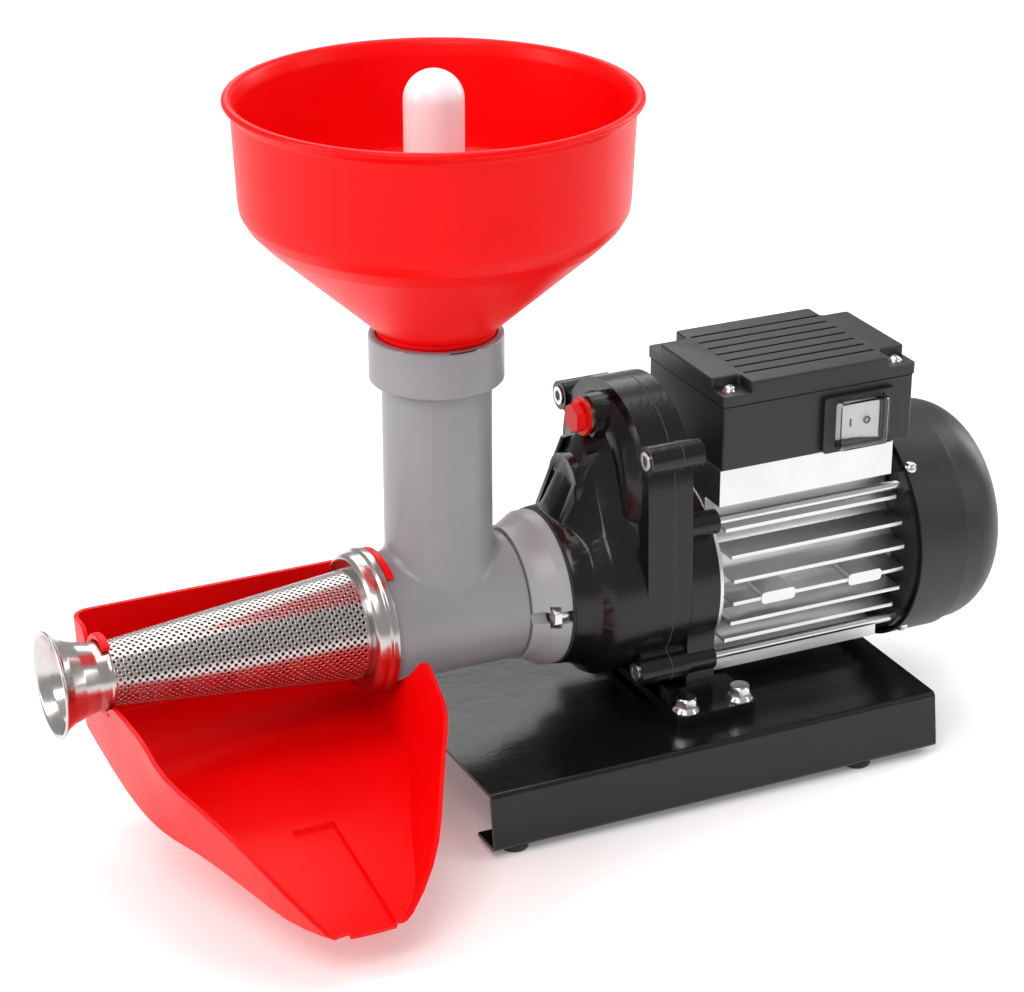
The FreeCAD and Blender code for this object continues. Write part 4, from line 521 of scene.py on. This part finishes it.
def tray_row(motor_side, outlet_side, floor_edge):
    """Nine places across the tray at one station, from the outlet's side to the motor's side."""
    floor_w, floor_y, floor_z = floor_edge
    half_spout = min(SPOUT_HALF, floor_w * 0.72)
    left = Vector((-outlet_side[0], *outlet_side[1:]))
    right = Vector(motor_side)
    floor_left = Vector((-floor_w, floor_y, floor_z))
    floor_right = Vector(floor_edge)
    spout = [Vector((SPOUT_MID + shift, floor_y, floor_z)) for shift in (-half_spout, 0, half_spout)]
    left_side = [left, left.lerp(floor_left, 0.5), floor_left]
    right_side = [floor_right, floor_right.lerp(right, 0.5), right]
    return left_side + spout + right_side


def tray_shell():
    """A grid of nine lines is laid from rim to rim, and its back edge is drawn up into the back wall."""
    stations = len(FLOOR_EDGE)
    bm = bmesh.new()
    bmesh.ops.create_grid(bm, x_segments=TRAY_LINES - 1, y_segments=stations - 1, size=0.5)
    verts = sorted(bm.verts, key=lambda v: (round(v.co.y, 4), round(v.co.x, 4)))
    rows = [tray_row(*lines) for lines in zip(MOTOR_SIDE_RIM, OUTLET_SIDE_RIM, FLOOR_EDGE)]
    for v, place in zip(verts, [place for row in reversed(rows) for place in row]):
        v.co = at(TRAY_MID + place.x, place.y, place.z)
    back_y = at(0, TRAY_BACK, 0).y
    back = [e for e in bm.edges if e.is_boundary and all(
        abs(v.co.y - back_y) < 1e-5 and v.co.z < at(0, 0, -40).z for v in e.verts)]
    raised = bmesh.ops.extrude_edge_only(bm, edges=back)
    floor_half = FLOOR_EDGE[0][0]
    for v in (g for g in raised["geom"] if isinstance(g, bmesh.types.BMVert)):
        share = (v.co.x - at(TRAY_MID, 0, 0).x) / (floor_half * MM)
        half = OUTLET_SIDE_RIM[0][0] if share < 0 else MOTOR_SIDE_RIM[0][0]
        v.co.z = at(0, 0, TRAY_TOP).z
        v.co.x = at(TRAY_MID, 0, 0).x + share * half * MM
    bmesh.ops.remove_doubles(bm, verts=bm.verts, dist=0.00005)
    return bm


def zip_corner(bm):
    """Joins the side walls to the back wall: each wall's middle line gets a partner on the other."""
    y = at(0, TRAY_BACK, 0).y
    mid = at(TRAY_MID, 0, 0).x
    for side in (-1, 1):
        edges = [e for e in bm.edges if e.is_boundary and all(
            abs(v.co.y - y) < 1e-5 and (v.co.x - mid) * side > 60 * MM for v in e.verts)]
        long_edge = max(edges, key=lambda e: e.calc_length())
        if long_edge.calc_length() > 40 * MM:
            bmesh.ops.subdivide_edges(bm, edges=[long_edge], cuts=1)
    bmesh.ops.remove_doubles(bm, verts=bm.verts, dist=0.0012)


def drip_tray():
    """Rounds the tray's corners, presses the spout's channel into its floor and gives it a wall."""
    bm = tray_shell()
    zip_corner(bm)
    y = at(0, TRAY_BACK, 0).y
    mid = at(TRAY_MID, 0, 0).x
    corner_round, floor_round = 9.0, 10.0

    def is_upright(e):
        return all(abs(v.co.y - y) < 1e-5 and abs(v.co.x - mid) > 60 * MM for v in e.verts)

    uprights = [e for e in bm.edges if is_upright(e) and not e.is_boundary]
    bmesh.ops.bevel(bm, geom=uprights, offset=corner_round * MM, segments=6, profile=0.5, affect="EDGES",
                    clamp_overlap=True, material=-1)
    low = [e for e in bm.edges if not e.is_boundary and len(e.link_faces) == 2
           and e.calc_face_angle(0) > math.radians(50)
           and max(v.co.z for v in e.verts) < at(0, 0, -40).z]
    bmesh.ops.bevel(bm, geom=low, offset=floor_round * MM, segments=8, profile=0.5, affect="EDGES",
                    clamp_overlap=True, material=-1)
    start_y = at(0, SPOUT_START, 0).y
    spout_mid = mid + SPOUT_MID * MM
    spout = [f for f in bm.faces if abs(f.calc_center_median().x - spout_mid) < SPOUT_HALF * MM
             and f.calc_center_median().y < start_y and abs(f.normal.z) > 0.9]
    bmesh.ops.inset_region(bm, faces=spout, thickness=0.9 * MM, use_boundary=False, use_even_offset=True)
    bmesh.ops.translate(bm, vec=(0, 0, -SPOUT_DEPTH * MM), verts=list({v for f in spout for v in f.verts}))
    bmesh.ops.recalc_face_normals(bm, faces=bm.faces)
    floor = [f for f in bm.faces if abs(f.normal.z) > 0.9]
    if sum(f.normal.z for f in floor) < 0:
        bmesh.ops.reverse_faces(bm, faces=bm.faces)
    piece = make_piece("tray_shell", bm, "drip_tray", smooth=34)
    wall = piece.modifiers.new("wall", "SOLIDIFY")
    wall.thickness = TRAY_WALL * MM
    wall.offset = -1.0
    round_edges(piece, 0.6, 2, 50)
    return piece


def tray_hook(name, x, inner, first, last):
    """A strip bent round the screw's axis, from one angle to the other, both in degrees from +Y."""
    half_width, thick, step = 2.0, 3.0, 5.0
    direction = Vector((0, math.cos(math.radians(first)), math.sin(math.radians(first))))
    outer = inner + thick
    section = [(-half_width, inner), (half_width, inner), (half_width, outer), (-half_width, outer)]
    bm = bmesh.new()
    verts = [bm.verts.new(at(x + shift, 0, 0) + direction * radius * MM) for shift, radius in section]
    face = bm.faces.new(verts)
    bmesh.ops.spin(bm, geom=[face], cent=at(x, 0, 0), axis=(1, 0, 0), dvec=(0, 0, 0),
                   angle=math.radians(last - first), steps=max(8, int(abs(last - first) / step)),
                   use_duplicate=False)
    bmesh.ops.remove_doubles(bm, verts=bm.verts, dist=0.00001)
    bmesh.ops.recalc_face_normals(bm, faces=bm.faces)
    piece = make_piece(name, bm, "drip_tray", smooth=40, replaces=False)
    round_edges(piece, 0.8, 3)


# ---------------------------------------------------------------- switch marks
def switch_marks():
    """A bar and a ring, raised on the rocker's two halves."""
    low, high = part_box("switch_rocker")
    centre = (low + high) / 2
    shift, depth = 4.8 * MM, 0.6 * MM
    face_y = low.y + 1.05 * MM
    bar_place = Vector((centre.x - shift, face_y, centre.z))
    bar_size = Vector((0.9 * MM, depth, 4.2 * MM))
    bm = bmesh.new()
    bmesh.ops.create_cube(bm, size=1.0, matrix=Matrix.LocRotScale(bar_place, None, bar_size))
    bar = make_piece("switch_bar_mark", bm, "switch_rocker", slot="black_matte_plastic", replaces=False)
    round_edges(bar, 0.2, 2)
    ring_place = Vector((centre.x + shift, face_y, centre.z))
    inner, outer = 1.2 * MM, 2.0 * MM
    section = [(inner, -depth / 2), (outer, -depth / 2), (outer, depth / 2), (inner, depth / 2)]
    bm = bmesh.new()
    verts = [bm.verts.new(ring_place + Vector((radius, y, 0))) for radius, y in section]
    edges = [bm.edges.new(pair) for pair in zip(verts, verts[1:] + verts[:1])]
    bmesh.ops.spin(bm, geom=verts + edges, cent=ring_place, axis=(0, 1, 0), dvec=(0, 0, 0), angle=math.tau,
                   steps=32, use_merge=True)
    bmesh.ops.remove_doubles(bm, verts=bm.verts, dist=0.00001)
    bmesh.ops.recalc_face_normals(bm, faces=bm.faces)
    make_piece("switch_ring_mark", bm, "switch_rocker", slot="black_matte_plastic", replaces=False)


# ---------------------------------------------------------------- build
for node, piece in frame["nodes"].items():
    piece.data.materials.clear()
    piece.data.materials.append(FINISH[NODE_SLOT[node]])

funnel()
pusher()
ring()
outlet()
perforated_cone()
drip_tray()
tray_hook("neck_hook", -176.8, 17.7, 116.0, -123.0)
tray_hook("barrel_hook", -34.4, 33.4, 122.0, -20.0)
switch_marks()

for width, nodes in (
        (1.2, ("gear_case_front", "motor_front_shield")),
        (1.0, ("gear_case_rear",)),
        (0.8, ("feed_body",)),
        (0.7, ("adaptor_flange", "terminal_box", "box_lid")),
        (0.6, ("switch_frame", "rear_shield")),
        (0.5, ("stator_housing", "switch_rocker", "oil_plug", "rubber_feet")),
        (0.4, ("switch_hood", "case_screws", "foot_bolts", "adaptor_bolts", "cable_gland")),
        (0.3, ("tie_rods",)),
        (0.2, ("fan_cover_screws", "lid_screws"))):
    for node in nodes:
        softened(node, width)


# ---------------------------------------------------------------- floor, light and camera
def plain(name, color, rough):
    material = bpy.data.materials.new(name)
    material.use_nodes = True
    shader = material.node_tree.nodes["Principled BSDF"]
    shader.inputs["Base Color"].default_value = (*color, 1)
    shader.inputs["Roughness"].default_value = rough
    return material


def floor():
    """A wide pale floor with a faint glow, so that it stays pale under the object."""
    bm = bmesh.new()
    bmesh.ops.create_grid(bm, x_segments=1, y_segments=1, size=12.0)
    mesh = bpy.data.meshes.new("studio_floor")
    bm.to_mesh(mesh)
    bm.free()
    glow = 0.14
    material = plain("studio_floor", (0.90, 0.90, 0.90), 0.75)
    shader = material.node_tree.nodes["Principled BSDF"]
    shader.inputs["Emission Color"].default_value = (1.0, 1.0, 1.0, 1)
    shader.inputs["Emission Strength"].default_value = glow
    mesh.materials.append(material)
    piece = bpy.data.objects.new("studio_floor", mesh)
    bpy.context.scene.collection.objects.link(piece)


def lamp(name, place, target, size, power, size_y=None):
    """A soft rectangular light that faces its target."""
    light = bpy.data.lights.new(name, "AREA")
    light.shape = "RECTANGLE"
    light.size = size
    light.size_y = size_y or size
    light.energy = power
    holder = bpy.data.objects.new(name, light)
    bpy.context.scene.collection.objects.link(holder)
    holder.location = place
    holder.rotation_euler = (Vector(target) - Vector(place)).to_track_quat("-Z", "Y").to_euler()


def camera():
    """The camera looks from the outlet's side, a little above."""
    azimuth, elevation, distance = math.radians(-25.434), math.radians(23.734), 1.4832
    target = at(40.5, 0, 52.7)
    away = Vector((math.sin(azimuth) * math.cos(elevation), -math.cos(azimuth) * math.cos(elevation),
                   math.sin(elevation)))
    lens = bpy.data.cameras.new("view_from_outlet")
    lens.lens = 104.0
    lens.sensor_width = 36.0
    lens.clip_end = 100
    holder = bpy.data.objects.new("view_from_outlet", lens)
    bpy.context.scene.collection.objects.link(holder)
    holder.location = target + away * distance
    holder.rotation_euler = (-away).to_track_quat("-Z", "Y").to_euler()
    bpy.context.scene.camera = holder


def world():
    """White to the camera, dimmer to everything else, so that dark pieces stay dark."""
    sky = bpy.data.worlds.new("studio")
    sky.use_nodes = True
    tree = sky.node_tree
    background = tree.nodes["Background"]
    background.inputs["Color"].default_value = (1.0, 1.0, 1.0, 1)
    ray = tree.nodes.new("ShaderNodeLightPath")
    strength = spread(tree, ray.outputs["Is Camera Ray"], 0.0, 1.0, 0.42, 1.0)
    tree.links.new(strength, background.inputs["Strength"])
    bpy.context.scene.world = sky
    bpy.context.scene.view_settings.view_transform = "Standard"


floor()
lamp("key_light", (-0.9, -1.0, 1.7), (0, 0, 0.15), 0.9, 15)
lamp("top_light", (0.1, 0.3, 2.2), (0, 0, 0), 1.6, 22)
lamp("side_strip", (1.5, -1.1, 0.9), (0.05, 0, 0.15), 0.25, 5, 1.2)
lamp("left_strip", (-1.3, 0.15, 0.75), (0, 0, 0.18), 0.3, 9, 1.2)
lamp("right_strip", (1.45, 0.35, 0.75), (0, 0, 0.18), 0.3, 9, 1.2)
lamp("back_light", (0.4, 1.4, 1.3), (0, 0, 0.2), 1.0, 8)
camera()
world()
